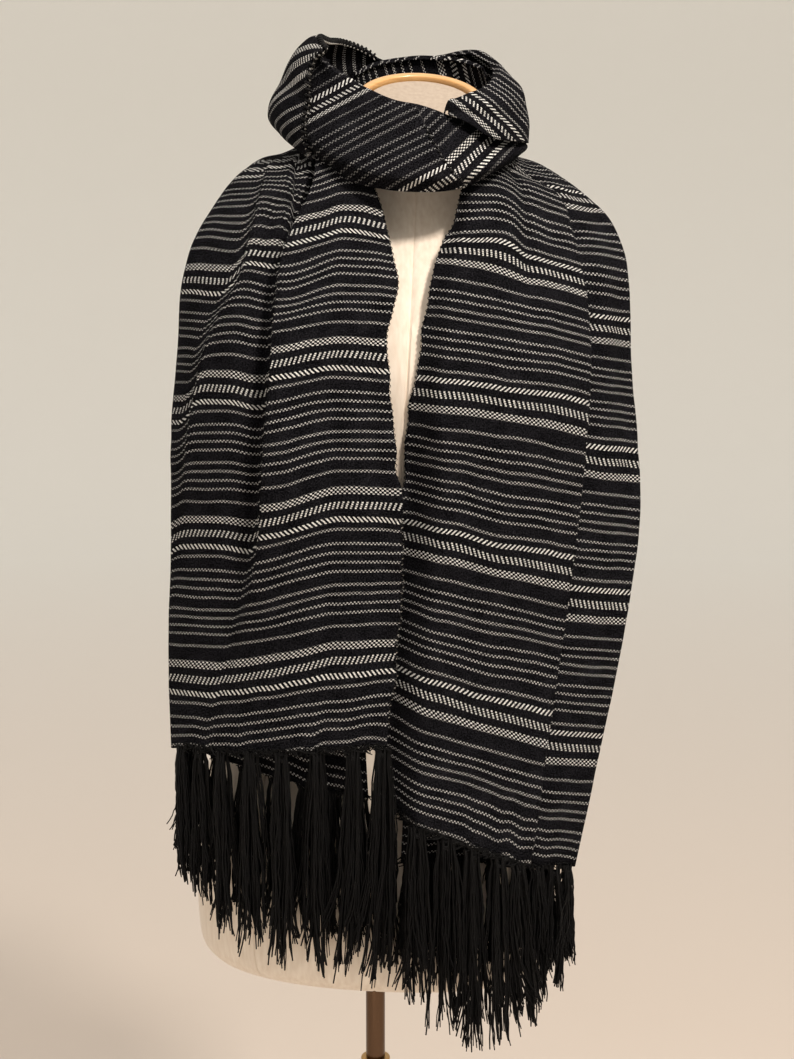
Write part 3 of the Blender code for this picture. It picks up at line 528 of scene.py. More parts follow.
def rounded(corners, radius, steps=4):
    """An outline of (radius, height) corners, each cut by a small arc. The first and last stay sharp."""
    outline = [corners[0]]
    for before, corner, after in zip(corners, corners[1:], corners[2:]):
        a, c, b = Vector(before), Vector(corner), Vector(after)
        size = min(radius, (a - c).length / 2, (b - c).length / 2)
        start, stop = c + (a - c).normalized() * size, c + (b - c).normalized() * size
        for i in range(steps + 1):
            t = i / steps
            outline.append(tuple(start * (1 - t) ** 2 + c * 2 * t * (1 - t) + stop * t * t))
    return outline + [corners[-1]]


def lathe(name, outline, turn, finish, replaced, steps=96):
    """Spins an outline of (radius, height) once round the frame's axis."""
    bm = bmesh.new()
    verts = [bm.verts.new(turn @ Vector((r, 0, h))) for r, h in outline]
    edges = [bm.edges.new(pair) for pair in zip(verts, verts[1:])]
    axis = turn.to_3x3() @ Vector((0, 0, 1))
    bmesh.ops.spin(
        bm, geom=verts + edges, cent=turn.translation, axis=axis, angle=2 * math.pi, steps=steps,
        use_merge=True,
    )
    bmesh.ops.remove_doubles(bm, verts=bm.verts, dist=0.00001)
    return finish_piece(name, bm, finish, replaced, 50.0)


upright = Matrix.Identity(4)
neck_top = neck_top_frame(SEAM_GAP)
DISC, DISC_HEIGHT = 0.0482, 0.0030
disc_outline = rounded([(0.0, 0.0), (DISC, 0.0), (DISC, DISC_HEIGHT), (0.0, DISC_HEIGHT)], 0.0012)
# Painted shade: the same linen a tone greyer, as the disc's top faces the lamps and would outshine the chest.
shaded_neck_linen = linen.copy()
shaded_neck_linen.name = "Neck linen, painted shade"
for stop, colour in zip(shaded_neck_linen.node_tree.nodes["Slub colours"].color_ramp.elements, ("9A8D7F", "A89B8C")):
    stop.color = linear(colour)
lathe("neck_cover", disc_outline, neck_top, shaded_neck_linen, "neck_disc")
INNER, OUTER, RING_HEIGHT = 0.0495, 0.0572, 0.0074
middle = (INNER + OUTER) / 2
ring_corners = [(OUTER, 0.0), (OUTER, RING_HEIGHT), (INNER, RING_HEIGHT), (INNER, 0.0)]
ring_outline = rounded([(middle, 0.0)] + ring_corners + [(middle, 0.0)], 0.0024)
lathe("beech_ring", ring_outline, neck_top, beech, "neck_ring", 128)
POLE, COLLAR, LOWER_POLE = 0.0092, 0.0140, 0.0115
COLLAR_TOP, COLLAR_BOTTOM, BASE_TOP = 0.588, 0.552, 0.018
pole_top = FORM_BOTTOM - POLE * math.tan(FORM_LEAN) - SEAM_GAP
pole_foot = COLLAR_TOP + SEAM_GAP
upper = rounded([(0.0, pole_foot), (POLE, pole_foot), (POLE, pole_top), (0.0, pole_top)], 0.0006)
lathe("upper_pole", upper, upright, steel, "pole_upper")
collar_side = [(COLLAR, COLLAR_BOTTOM), (COLLAR, COLLAR_TOP)]
collar = rounded([(0.0, COLLAR_BOTTOM)] + collar_side + [(0.0, COLLAR_TOP)], 0.0016)
lathe("brass_collar", collar, upright, brass, "pole_collar")
foot, head = BASE_TOP + SEAM_GAP, COLLAR_BOTTOM - SEAM_GAP
lower = rounded([(0.0, foot), (LOWER_POLE, foot), (LOWER_POLE, head), (0.0, head)], 0.0006)
lathe("lower_pole", lower, upright, steel, "pole_lower")
base_side = [(0.173, 0.0), (0.175, 0.005), (0.120, 0.012), (0.050, 0.016), (0.030, BASE_TOP)]
base_outline = rounded([(0.0, 0.0)] + base_side + [(0.0, BASE_TOP)], 0.002)
lathe("stand_base", base_outline, upright, steel, "base")
print("turned pieces: 6")

# %% [markdown]
# ## The hanging ends
# A long scarf folded lengthwise hangs in soft columns. Each end is one sheet: the front layer, the rounded
# outer fold and the layer behind. The left end's right half laps over its left half in one deep fold.
# A fold's "lines" are its places across the width at seven levels from the neck to the hem. A "step" fold
# has one steep side, and "over" is how far its crest leans across the valley beside it.

# %% Section tables of the ends
TAIL_COLUMNS = ("in_x", "in_y", "in_z", "out_x", "out_y", "out_z", "round", "lift", "back_x", "back_y")
TAIL_LEFT_SECTIONS = (
    (-0.022, 0.022, 1.476, -0.050, 0.036, 1.446, 1.0, 0.000, -0.044, 0.030),
    (-0.031, -0.008, 1.474, -0.078, 0.006, 1.444, 1.2, 0.000, -0.070, 0.000),
    (-0.027, -0.042, 1.460, -0.098, -0.006, 1.440, 1.5, -0.006, -0.088, -0.014),
    (-0.013, -0.072, 1.434, -0.121, -0.014, 1.424, 1.8, 0.002, -0.108, -0.026),
    (0.003, -0.096, 1.402, -0.138, -0.0292, 1.4008, 2.2, 0.006, -0.116, -0.050),
    (0.014, -0.113, 1.365, -0.157, -0.046, 1.365, 2.6, 0.003, -0.128, -0.064),
    (0.021, -0.128, 1.328, -0.168, -0.050, 1.325, 3.0, 0.000, -0.128, -0.074),
    (0.012, -0.139, 1.285, -0.172, -0.052, 1.280, 3.2, 0.000, -0.112, -0.094),
    (0.017, -0.146, 1.210, -0.177, -0.060, 1.206, 3.2, 0.000, -0.082, -0.108),
    (0.026, -0.148, 1.120, -0.178, -0.068, 1.114, 3.0, 0.000, -0.040, -0.115),
    (0.022, -0.148, 1.030, -0.182, -0.074, 1.022, 2.8, 0.000, -0.012, -0.120),
    (0.012, -0.147, 0.936, -0.181, -0.078, 0.920, 2.6, 0.000, -0.004, -0.123),
)
TAIL_RIGHT_SECTIONS = (
    (0.098, -0.042, 1.458, 0.112, -0.030, 1.448, 1.0, 0.000, 0.108, -0.032),
    (0.093, -0.056, 1.446, 0.126, -0.036, 1.434, 1.0, 0.000, 0.120, -0.034),
    (0.088, -0.070, 1.432, 0.139, -0.042, 1.420, 1.3, 0.002, 0.131, -0.042),
    (0.075, -0.096, 1.404, 0.160, -0.064, 1.403, 1.8, 0.005, 0.146, -0.062),
    (0.066, -0.113, 1.375, 0.169, -0.087, 1.370, 2.2, 0.004, 0.150, -0.086),
    (0.053, -0.125, 1.345, 0.178, -0.096, 1.337, 2.4, 0.001, 0.155, -0.097),
    (0.048, -0.134, 1.316, 0.183, -0.102, 1.304, 2.6, 0.000, 0.157, -0.105),
    (0.039, -0.141, 1.275, 0.184, -0.108, 1.262, 2.6, 0.000, 0.157, -0.112),
    (0.030, -0.147, 1.215, 0.180, -0.112, 1.205, 2.6, 0.000, 0.152, -0.117),
    (0.025, -0.147, 1.150, 0.175, -0.112, 1.135, 2.6, 0.000, 0.147, -0.118),
    (0.018, -0.147, 1.080, 0.166, -0.116, 1.060, 2.4, 0.000, 0.138, -0.122),
    (0.012, -0.147, 0.990, 0.155, -0.120, 0.965, 2.2, 0.000, 0.128, -0.126),
    (0.008, -0.150, 0.878, 0.136, -0.126, 0.822, 2.0, 0.000, 0.108, -0.128),
)
TAIL_UNDER_SECTIONS = (
    (0.118, 0.002, 1.452, 0.124, 0.024, 1.444, 1.0, 0.000, 0.122, 0.020),
    (0.121, -0.014, 1.442, 0.136, 0.012, 1.442, 1.0, 0.000, 0.132, 0.008),
    (0.127, -0.0285, 1.4205, 0.158, -0.004, 1.432, 1.2, 0.004, 0.152, -0.008),
    (0.140, -0.053, 1.397, 0.187, -0.018, 1.410, 1.4, 0.006, 0.180, -0.022),
    (0.144, -0.068, 1.368, 0.208, -0.038, 1.384, 1.8, 0.004, 0.198, -0.042),
    (0.151, -0.087, 1.336, 0.220, -0.052, 1.350, 2.3, 0.001, 0.200, -0.062),
    (0.155, -0.092, 1.302, 0.224, -0.056, 1.306, 2.0, 0.000, 0.186, -0.076),
    (0.155, -0.098, 1.258, 0.226, -0.056, 1.252, 2.0, 0.000, 0.168, -0.083),
    (0.150, -0.103, 1.200, 0.231, -0.062, 1.190, 2.0, 0.000, 0.122, -0.103),
    (0.145, -0.105, 1.135, 0.233, -0.068, 1.128, 2.0, 0.000, 0.080, -0.112),
    (0.137, -0.107, 1.062, 0.225, -0.074, 1.056, 2.0, 0.000, 0.050, -0.115),
    (0.126, -0.109, 0.968, 0.209, -0.080, 0.960, 2.0, 0.000, 0.032, -0.119),
    (0.107, -0.113, 0.822, 0.179, -0.088, 0.812, 2.0, 0.000, 0.024, -0.123),
)
FOLD_COLUMNS = ("lines", "height", "width", "start", "stop", "step", "over")
LAP_LINE = (0.20, 0.20, 0.32, 0.50, 0.50, 0.60, 0.80)
SIDE_LINE = (0.76, 0.74, 0.70, 0.70, 0.86, 0.98, 1.10)
LEFT_FOLDS = (
    (LAP_LINE, 0.019, 0.24, 0.16, 0.97, 1, 0.010),
    (SIDE_LINE, 0.009, 0.14, 0.16, 0.86, 1, 0.004),
    (tuple(line + 0.042 for line in LAP_LINE), -0.014, 0.045, 0.16, 0.97, 0, 0),
    ((0.42, 0.44, 0.52, 0.66, 0.80, 0.90, 1.00), -0.006, 0.05, 0.16, 0.75, 0, 0),
    ((0.22, 0.22, 0.26, 0.22, 0.24, 0.29, 0.29), -0.004, 0.05, 0.40, 1.10, 0, 0),
    ((0.10, 0.10, 0.10, 0.09, 0.08, 0.08, 0.08), -0.003, 0.04, 0.55, 1.10, 0, 0),
    ((0.10, 0.09, 0.08, 0.25, 0.42, 0.46, 0.50), 0.005, 0.10, 0.35, 1.00, 0, 0),
    ((0.48, 0.48, 0.50, 0.60, 0.64, 0.74, 0.90), -0.003, 0.05, 0.30, 1.00, 0, 0),
)
RIGHT_FOLDS = (
    ((0.40, 0.42, 0.46, 0.46, 0.46, 0.50, 0.50), 0.005, 0.11, 0.10, 0.50, 0, 0),
    ((0.60, 0.60, 0.61, 0.62, 0.62, 0.62, 0.62), -0.007, 0.055, 0.10, 0.52, 0, 0),
    ((0.62, 0.60, 0.59, 0.59, 0.60, 0.63, 0.66), 0.006, 0.14, 0.45, 0.95, 0, 0),
    ((0.30, 0.30, 0.30, 0.32, 0.35, 0.38, 0.42), -0.004, 0.10, 0.30, 0.90, 0, 0),
    ((0.84, 0.83, 0.82, 0.83, 0.84, 0.82, 0.80), -0.002, 0.07, 0.20, 0.60, 0, 0),
)
UNDER_FOLDS = (
    ((0.45, 0.52, 0.60, 0.63, 0.66, 0.63, 0.60), 0.006, 0.16, 0.15, 0.80, 0, 0),
    ((0.75, 0.80, 0.85, 0.86, 0.86, 0.85, 0.84), -0.004, 0.08, 0.20, 0.95, 0, 0),
)

# %% Follow the sections with folds
def unit(vectors):
    """Vectors of length one."""
    return vectors / np.maximum(np.linalg.norm(vectors, axis=-1, keepdims=True), 1e-9)


def row_at(columns, place):
    """Every column of a section table at fractional rows."""
    return {name: smooth(values, place) for name, values in columns.items()}


def fold_offset(folds, u, v):
    """How far the folds move points out of a hanging end, and how far they lean over to the outer side."""
    out, lean_over = np.zeros(np.broadcast(u, v).shape), np.zeros(np.broadcast(u, v).shape)
    for fold in folds:
        row = dict(zip(FOLD_COLUMNS, fold))
        line = smooth(row["lines"], 6 * v)
        fade = ease((v - row["start"]) / 0.12) * ease((row["stop"] - v) / 0.25 + 0.15)
        away = (line - u) / row["width"]
        if row["step"]:
            shape = np.where(away > 0, np.exp(-away) * ease(away / 0.11), 0.0)
            lean_over = lean_over + row["over"] * fade * np.exp(-(((away - 0.14) / 0.12) ** 2))
        else:
            shape = np.exp(-away * away)
        out = out + row["height"] * fade * shape
    return out, lean_over


def front_layer(columns, folds, curl=0.0):
    """The front layer of a hanging end as a function of width u and length v."""
    last = len(columns["in_x"]) - 1

    def surface(u, v):
        u, v = np.broadcast_arrays(np.asarray(u, float), np.asarray(v, float))
        row = row_at(columns, v * last)
        bend = np.maximum(u, 0.0) ** row["round"]
        out, lean_over = fold_offset(folds, u, v)
        rolled = 0.14 + 0.12 * ease((v - 0.5) / 0.3)
        deeper = 1 + 1.2 * ease((v - 0.55) / 0.2)
        edge_back = curl * deeper * ease(v / 0.4) * (1 - ease(u / rolled))
        low = ease(v / 0.3)
        return np.stack((
            row["in_x"] + (row["out_x"] - row["in_x"]) * u + lean_over * np.sign(row["out_x"] - row["in_x"]),
            row["in_y"] + (row["out_y"] - row["in_y"]) * bend - out * (0.3 + 0.7 * low) + edge_back,
            row["in_z"] + (row["out_z"] - row["in_z"]) * u + row["lift"] * np.sin(math.pi * u)
            + out * 0.7 * (1 - low),
        ), axis=-1)

    return surface


def outward(surface, u, v):
    """Unit directions out of a hanging end, away from the body."""
    step = 0.01
    u, v = np.broadcast_arrays(np.asarray(u, float), np.asarray(v, float))
    low, high = np.maximum(u - step, 0.0), np.minimum(u + step, 1.0)
    up, down = np.maximum(v - step, 0.0), np.minimum(v + step, 1.0)
    out = np.cross(surface(high, v) - surface(low, v), surface(u, down) - surface(u, up))
    wrong = ((out[..., 1] > 0) & (v > 0.3)) | ((out[..., 2] < 0) & (v <= 0.3))
    return unit(np.where(wrong[..., None], -out, out))


# %% Turn the cloth round the outer fold
FOLD_SHARE = 0.08
TOP_TURN = 0.18
TOP_GAP = 0.006


def folded_end(rows, folds, layer_gap, front_share, back_round, curl=0.0, drop=0.0):
    """A hanging end as one sheet: front layer, round outer fold, then the layer behind it."""
    columns = table(TAIL_COLUMNS, rows)
    front = front_layer(columns, folds, curl)
    plain = front_layer(columns, ())
    last = len(rows) - 1

    def point(s, v):
        s, v = np.broadcast_arrays(np.asarray(s, float), np.asarray(v, float))
        edge, out = front(np.ones_like(v), v), outward(plain, np.ones_like(v), v)
        side = edge - front(np.full_like(v, 0.96), v)
        side = unit(side - out * np.sum(side * out, axis=-1, keepdims=True))
        gap = (TOP_GAP + (layer_gap - TOP_GAP) * ease(v / 0.35))[..., None]
        around = (math.pi * np.clip((s - front_share) / FOLD_SHARE, 0, 1))[..., None]
        turned = edge - out * gap * 0.5 * (1 - np.cos(around)) + side * gap * 0.5 * np.sin(around)
        across = np.clip((s - front_share - FOLD_SHARE) / (1 - front_share - FOLD_SHARE), 0, 1)
        row = row_at(columns, v * last)
        start = edge - out * gap
        follow = plain(1.0 - TOP_TURN * across, v) - plain(np.ones_like(v), v) + start
        slope = (row["in_z"] - row["out_z"]) * (start[..., 0] - row["back_x"]) / (row["out_x"] - row["in_x"])
        hang = np.stack((
            start[..., 0] + (row["back_x"] - start[..., 0]) * across,
            row["back_y"] + (start[..., 1] - row["back_y"]) * (1.0 - across) ** back_round,
            start[..., 2] + slope * across - drop * across * ease((v - 0.6) / 0.4),
        ), axis=-1)
        free = ease((v - 0.24) / 0.14)[..., None]
        behind = follow * (1 - free) + hang * free
        ahead = front(np.clip(s / front_share, 0, 1), v)
        result = np.where((s <= front_share)[..., None], ahead, turned)
        return np.where((s > front_share + FOLD_SHARE)[..., None], behind, result)

    return point


# %% [markdown]
# ## Weaving a sheet
# Each sheet is a grid laid on its surface, then given the small unevenness of soft handwoven cotton. Its
# thread map measures real cloth: the first coordinate runs across the warp, the second along it from the
# hem, in metres. So the stripes keep their true width and bend with the folds.

# %% Lay a sheet of cloth
WALL = 1.4 * MM


def lengths(points, axis):
    """Distances along one axis of a grid of points, from its start."""
    steps = np.linalg.norm(np.diff(points, axis=axis), axis=-1)
    return np.concatenate((np.zeros_like(np.take(steps, [0], axis)), np.cumsum(steps, axis=axis)), axis=axis)


def uneven(points, across, along, amounts, seed):
    """Moves a grid of points along its normals by soft noise. Each amount is (size, height)."""
    normal = unit(np.cross(np.gradient(points, axis=0), np.gradient(points, axis=1)))
    total = np.zeros(points.shape[:2])
    for i, (size, height) in enumerate(amounts):
        total += height * soft_noise(across, along * 0.7, size, seed + i)
    return points + normal * total[..., None]


def lay_sheet(name, points, weave_map, finish, replaced):
    """A sheet whose grid follows an array of points, with its thread map and its thickness."""
    count_s, count_v = points.shape[:2]

    def cell(vert):
        """A vertex's place in the array, from its place on the flat grid, which is 1 m wide and long."""
        return round((vert.co.x + 0.5) * (count_s - 1)), round((vert.co.y + 0.5) * (count_v - 1))

    bm = bmesh.new()
    bmesh.ops.create_grid(bm, x_segments=count_s - 1, y_segments=count_v - 1, size=0.5)
    thread_layer = bm.loops.layers.uv.new("Weave")
    for face in bm.faces:
        for loop in face.loops:
            loop[thread_layer].uv = weave_map[cell(loop.vert)]
    for vert in bm.verts:
        vert.co = points[cell(vert)]
    mesh = bpy.data.meshes.new(name)
    bm.to_mesh(mesh)
    bm.free()
    mesh.shade_smooth()
    mesh.materials.append(finish)
    piece = place_piece(name, mesh, replaced)
    wall = piece.modifiers.new("Cloth wall", "SOLIDIFY")
    wall.thickness = WALL
    wall.offset = 0.0
    return piece


# %% Hang both ends
ACROSS, ALONG = 100, 220
# Each unevenness is a (size, amount): of the drape, of the threads' run, of the hem and of the edge.
DRAPE = ((0.090, 1.7 * MM), (0.035, 0.7 * MM), (0.012, 0.3 * MM))
WANDER = ((0.045, 1.6 * MM), (0.013, 0.5 * MM))
HEM_WAVE = (0.011, 2.6 * MM)
EDGE_WAVES = ((0, 0.016, 2.2 * MM), (1, 0.020, 3.0 * MM))
LEFT_SHARE, RIGHT_SHARE, UNDER_SHARE = 0.64, 0.74, 0.42
left_end = folded_end(TAIL_LEFT_SECTIONS, LEFT_FOLDS, 0.012, LEFT_SHARE, 2.6, drop=0.050)
right_end = folded_end(TAIL_RIGHT_SECTIONS, RIGHT_FOLDS, 0.010, RIGHT_SHARE, 1.5, curl=0.014)
under_end = folded_end(TAIL_UNDER_SECTIONS, UNDER_FOLDS, 0.010, UNDER_SHARE, 1.15, drop=0.006)
grid_s, grid_v = np.meshgrid(np.linspace(0, 1, ACROSS), np.linspace(0, 1, ALONG), indexing="ij")


# How far the weft has slipped along the warp from a straight line, in millimetres. A row is a level from
# 0 at the neck to 1 at the hem, then evenly spaced places across, from the edge by the chest outwards.
LAP_SLIPS = (
    (0.28, 20, 18, 30), (0.42, 15, 9, 18), (0.50, 8, 3, 12), (0.66, -3, -9, -4), (0.80, -9, -15, -5),
    (0.93, -13, -11, 2), (1.00, -10, -6, 4),
)
SIDE_SLIPS = (
    (0.28, 56, 64), (0.42, 34, 54), (0.50, 24, 52), (0.66, 15, 42), (0.80, 8, 16), (0.93, 5, 9),
    (1.00, 8, 11),
)
RIGHT_SLIPS = (
    (0.15, -20, -16, -14, -12, -10), (0.35, -30, -16, -7, -9, -2), (0.42, -20, -11, -6, -1, 2),
    (0.62, -14, -4, 6, 15, 20), (0.79, -6, 3, 9, 16, 21), (0.91, 0, 5, 9, 14, 17), (1.00, 2, 4, 6, 4, 4),
)
UNDER_SLIPS = (
    (0.30, -36, -36, -34), (0.50, -33, -32, -31), (0.67, -11, -12, -12), (0.82, -3, -5, -7),
    (1.00, 1, -1, -3),
)


def slipped(rows, across, v):
    """Slip in metres at a place across, from 0 to 1, and a level along an end."""
    rows = np.array(rows, dtype=float)
    columns = np.stack([np.interp(v, rows[:, 0], rows[:, i]) for i in range(1, rows.shape[1])])
    return smooth_rows(columns, np.clip(across, 0, 1) * (len(columns) - 1)) * MM


def left_slip(u, v):
    """The left half of the left end has slipped further down than its right half, its side furthest."""
    lap, side = smooth(LAP_LINE, 6 * v), smooth(SIDE_LINE, 6 * v)
    right_half = slipped(LAP_SLIPS, u / lap, v)
    left_half = slipped(SIDE_SLIPS, ease((u - side + 0.04) / 0.10), v)
    beyond = ease((u - lap) / 0.05)
    return right_half * (1 - beyond) + left_half * beyond


# The right end's hem lies before the repeat's next bold stripe, so its thread map stops there.
LAST_AT_RIGHT_HEM = 0.1285


def hang_end(name, end, replaced, start, direction, slip, seed):
    """One hanging end as a sheet, with its thread map measured up from the hem."""
    points = end(grid_s, grid_v)
    run = lengths(points, 1)
    from_hem = run[:, -1:] - run
    width = lengths(points[:, ALONG // 2], 0)
    side = lengths(points * (1.0, 0.4, 1.0), 0) * -direction
    along = start + direction * from_hem + slip
    for i, (bump_size, amount) in enumerate(WANDER):
        along = along + amount * soft_noise(side, from_hem, bump_size, seed + 5 + i)
    if direction < 0:
        along = np.minimum(along, LAST_AT_RIGHT_HEM)
    weave_map = np.stack((side, along), axis=-1)
    made = uneven(points, side, from_hem, DRAPE, seed)
    near_hem = ease((grid_v - 0.95) / 0.05)
    made[..., 2] += near_hem * (HEM_WAVE[1] * soft_noise(side, 0 * side, HEM_WAVE[0], seed + 7) - 1.5 * MM)
    near_edge = np.exp(-grid_s / 0.025) * ease(grid_v / 0.3)
    for axis, bump_size, amount in EDGE_WAVES:
        made[..., axis] += near_edge * amount * soft_noise(from_hem, 0 * side, bump_size, seed + 8 + axis)
    piece = lay_sheet(name, made, weave_map, woven, replaced)
    flat = (float(width[-1]), float(run[:, -1].mean()))
    print(name, "flat:", [round(x, 3) for x in flat], "m")
    return piece, flat, made


LEFT_HEM_AT, RIGHT_HEM_AT = -0.054, 0.124
slips = left_slip(grid_s / LEFT_SHARE, grid_v)
end_left, flat_left, left_points = hang_end("left_end", left_end, "tail_left", LEFT_HEM_AT, 1.0, slips, 11)
slips = slipped(RIGHT_SLIPS, grid_s / RIGHT_SHARE, grid_v)
end_right, flat_right, right_points = hang_end(
    "right_end_front", right_end, "tail_right_front", RIGHT_HEM_AT, -1.0, slips, 21
)
slips = slipped(UNDER_SLIPS, grid_s / UNDER_SHARE, grid_v)
end_under, flat_under, _ = hang_end(
    "right_end_under", under_end, "tail_right_under", RIGHT_HEM_AT, -1.0, slips, 31
)

# %% [markdown]
# ## The folds round the neck
# The scarf goes round the neck as a standing collar. Here the sections run from the upper edge, over the
# crest and down the face to the tuck. The cloth is twisted as it is wound, so the stripes cross each
# stretch at a slant of its own, and on the front they lie closer where the cloth is pulled. That is
# easier to state than to simulate: each stretch has a short function that says where its threads lie.

# %% Section tables of the collar
COLLAR_COLUMNS = (
    "angle", "edge_r", "edge_z", "crest_r", "crest_z", "face_r", "face_z",
    "belly_r", "belly_z", "tuck_r", "tuck_z",
)
COLLAR_FRONT_SECTIONS = (
    (-98, 0.080, 1.528, 0.089, 1.529, 0.105, 1.506, 0.112, 1.489, 0.105, 1.478),
    (-72, 0.080, 1.517, 0.089, 1.518, 0.106, 1.494, 0.113, 1.474, 0.104, 1.463),
    (-58, 0.076, 1.508, 0.086, 1.508, 0.106, 1.482, 0.113, 1.456, 0.104, 1.4355),
    (-45, 0.072, 1.498, 0.082, 1.498, 0.105, 1.470, 0.114, 1.443, 0.103, 1.4215),
    (-20, 0.070, 1.483, 0.081, 1.482, 0.106, 1.454, 0.117, 1.424, 0.106, 1.409),
    (0, 0.069, 1.477, 0.080, 1.475, 0.106, 1.448, 0.117, 1.420, 0.106, 1.405),
    (20, 0.067, 1.470, 0.077, 1.468, 0.101, 1.447, 0.115, 1.423, 0.105, 1.409),
    (42, 0.066, 1.464, 0.074, 1.463, 0.091, 1.452, 0.107, 1.437, 0.099, 1.426),
    (62, 0.068, 1.464, 0.074, 1.464, 0.088, 1.457, 0.101, 1.446, 0.095, 1.438),
    (80, 0.071, 1.469, 0.075, 1.470, 0.085, 1.464, 0.097, 1.453, 0.091, 1.447),
    (98, 0.073, 1.476, 0.076, 1.477, 0.082, 1.471, 0.088, 1.462, 0.086, 1.457),
)
COLLAR_LEFT_SECTIONS = (
    (-55, 0.098, 1.528, 0.106, 1.521, 0.1185, 1.490, 0.1200, 1.457, 0.1127, 1.434),
    (-75, 0.090, 1.541, 0.100, 1.538, 0.122, 1.504, 0.130, 1.472, 0.120, 1.453),
    (-95, 0.081, 1.543, 0.090, 1.542, 0.123, 1.510, 0.134, 1.479, 0.122, 1.462),
    (-120, 0.081, 1.547, 0.089, 1.546, 0.114, 1.511, 0.125, 1.474, 0.113, 1.454),
    (-142, 0.083, 1.544, 0.090, 1.543, 0.106, 1.505, 0.113, 1.465, 0.104, 1.442),
    (-155, 0.084, 1.535, 0.090, 1.534, 0.103, 1.498, 0.109, 1.460, 0.100, 1.436),
    (-172, 0.085, 1.528, 0.090, 1.527, 0.100, 1.493, 0.105, 1.456, 0.097, 1.430),
    (-198, 0.086, 1.518, 0.089, 1.517, 0.096, 1.488, 0.099, 1.455, 0.093, 1.432),
)
COLLAR_RIGHT_SECTIONS = (
    (16, 0.074, 1.4725, 0.077, 1.4745, 0.083, 1.4735, 0.087, 1.4715, 0.089, 1.4695),
    (19, 0.071, 1.480, 0.076, 1.483, 0.086, 1.479, 0.092, 1.473, 0.094, 1.467),
    (25, 0.069, 1.482, 0.075, 1.485, 0.088, 1.479, 0.096, 1.470, 0.098, 1.462),
    (36, 0.066, 1.485, 0.073, 1.490, 0.092, 1.482, 0.102, 1.465, 0.104, 1.451),
    (55, 0.064, 1.492, 0.072, 1.498, 0.093, 1.489, 0.104, 1.466, 0.104, 1.450),
    (75, 0.064, 1.504, 0.073, 1.510, 0.091, 1.498, 0.099, 1.471, 0.099, 1.4518),
    (95, 0.066, 1.514, 0.074, 1.519, 0.088, 1.505, 0.095, 1.474, 0.094, 1.4536),
    (118, 0.074, 1.524, 0.082, 1.529, 0.093, 1.508, 0.100, 1.474, 0.096, 1.452),
    (146, 0.088, 1.541, 0.095, 1.544, 0.106, 1.515, 0.111, 1.470, 0.104, 1.442),
    (168, 0.095, 1.541, 0.101, 1.541, 0.110, 1.510, 0.115, 1.466, 0.107, 1.436),
    (192, 0.097, 1.534, 0.102, 1.534, 0.111, 1.504, 0.115, 1.464, 0.108, 1.436),
)
COLLAR_BACK_SECTIONS = (
    (122, 0.066, 1.522, 0.069, 1.523, 0.074, 1.508, 0.078, 1.474, 0.076, 1.449),
    (150, 0.070, 1.532, 0.074, 1.533, 0.079, 1.508, 0.082, 1.470, 0.078, 1.441),
    (180, 0.071, 1.535, 0.075, 1.536, 0.081, 1.506, 0.084, 1.466, 0.080, 1.436),
    (210, 0.071, 1.529, 0.075, 1.530, 0.080, 1.504, 0.083, 1.468, 0.079, 1.441),
    (235, 0.070, 1.517, 0.073, 1.518, 0.076, 1.500, 0.079, 1.470, 0.077, 1.449),
)
COLLAR_FOLD_COLUMNS = ("first", "last", "height", "width")
FRONT_WRAP_FOLDS = (
    (0.30, 0.75, -0.004, 0.10),
    (0.62, 1.10, 0.004, 0.12),
    (0.05, 0.40, 0.003, 0.10),
)
LEFT_LOBE_FOLDS = (
    (0.55, 0.35, -0.004, 0.10),
    (0.30, 0.70, 0.004, 0.12),
)
RIGHT_LOBE_FOLDS = (
    (0.80, 0.45, -0.003, 0.10),
    (0.45, 0.75, 0.003, 0.14),
)
# On the wrap the pick is stated by the distance down its slant, in millimetres, from the place of pick 0.
WRAP_PICKS = ((-20, -24), (14, 2), (22, 12), (29, 22), (39, 35), (50, 44), (70, 62), (81, 71), (140, 123))
SELVEDGE_TURN, SELVEDGE_DOWN, SELVEDGE_SLOPE = 0.515, 0.42, 0.158

# %% Wind the cloth round the neck
NECK_CENTRE = (0.0405, -0.012)
CRUMPLE = ((0.05, 0.9 * MM), (0.015, 0.35 * MM))
WRAP_COUNTS = (90, 240)
BAND_NAMES = ("edge", "crest", "face", "belly", "tuck")


def stacked(row, kind):
    """The five points of a collar section as one array."""
    return np.stack([row[name + kind] for name in BAND_NAMES])


def collar_points(rows, folds, down, turn):
    """Points of a stretch round the neck."""
    columns = table(COLLAR_COLUMNS, rows)
    last = len(rows) - 1
    row = row_at(columns, turn * last)
    place = down * (len(BAND_NAMES) - 1)
    radius, height = (smooth_rows(stacked(row, kind), place) for kind in ("_r", "_z"))
    for fold in folds:
        shape = dict(zip(COLLAR_FOLD_COLUMNS, fold))
        line = shape["first"] + (shape["last"] - shape["first"]) * turn
        fade = ease(down / 0.2) * ease((1 - down) / 0.2)
        radius = radius + shape["height"] * fade * np.exp(-(((down - line) / shape["width"]) ** 2))
    angle = np.radians(row["angle"])
    points = (NECK_CENTRE[0] + radius * np.sin(angle), NECK_CENTRE[1] - radius * np.cos(angle), height)
    return np.stack(points, axis=-1)


def on_slant(points, slant, pick_zero, stretch=1.0):
    """Thread distances for stripes that cross the front at a slant, in degrees, from the place of pick 0."""
    turn = math.radians(slant)
    right, up = points[..., 0] - pick_zero[0], points[..., 2] - pick_zero[1]
    down_slant = right * math.sin(turn) - up * math.cos(turn)
    return right * math.cos(turn) + up * math.sin(turn), down_slant * stretch


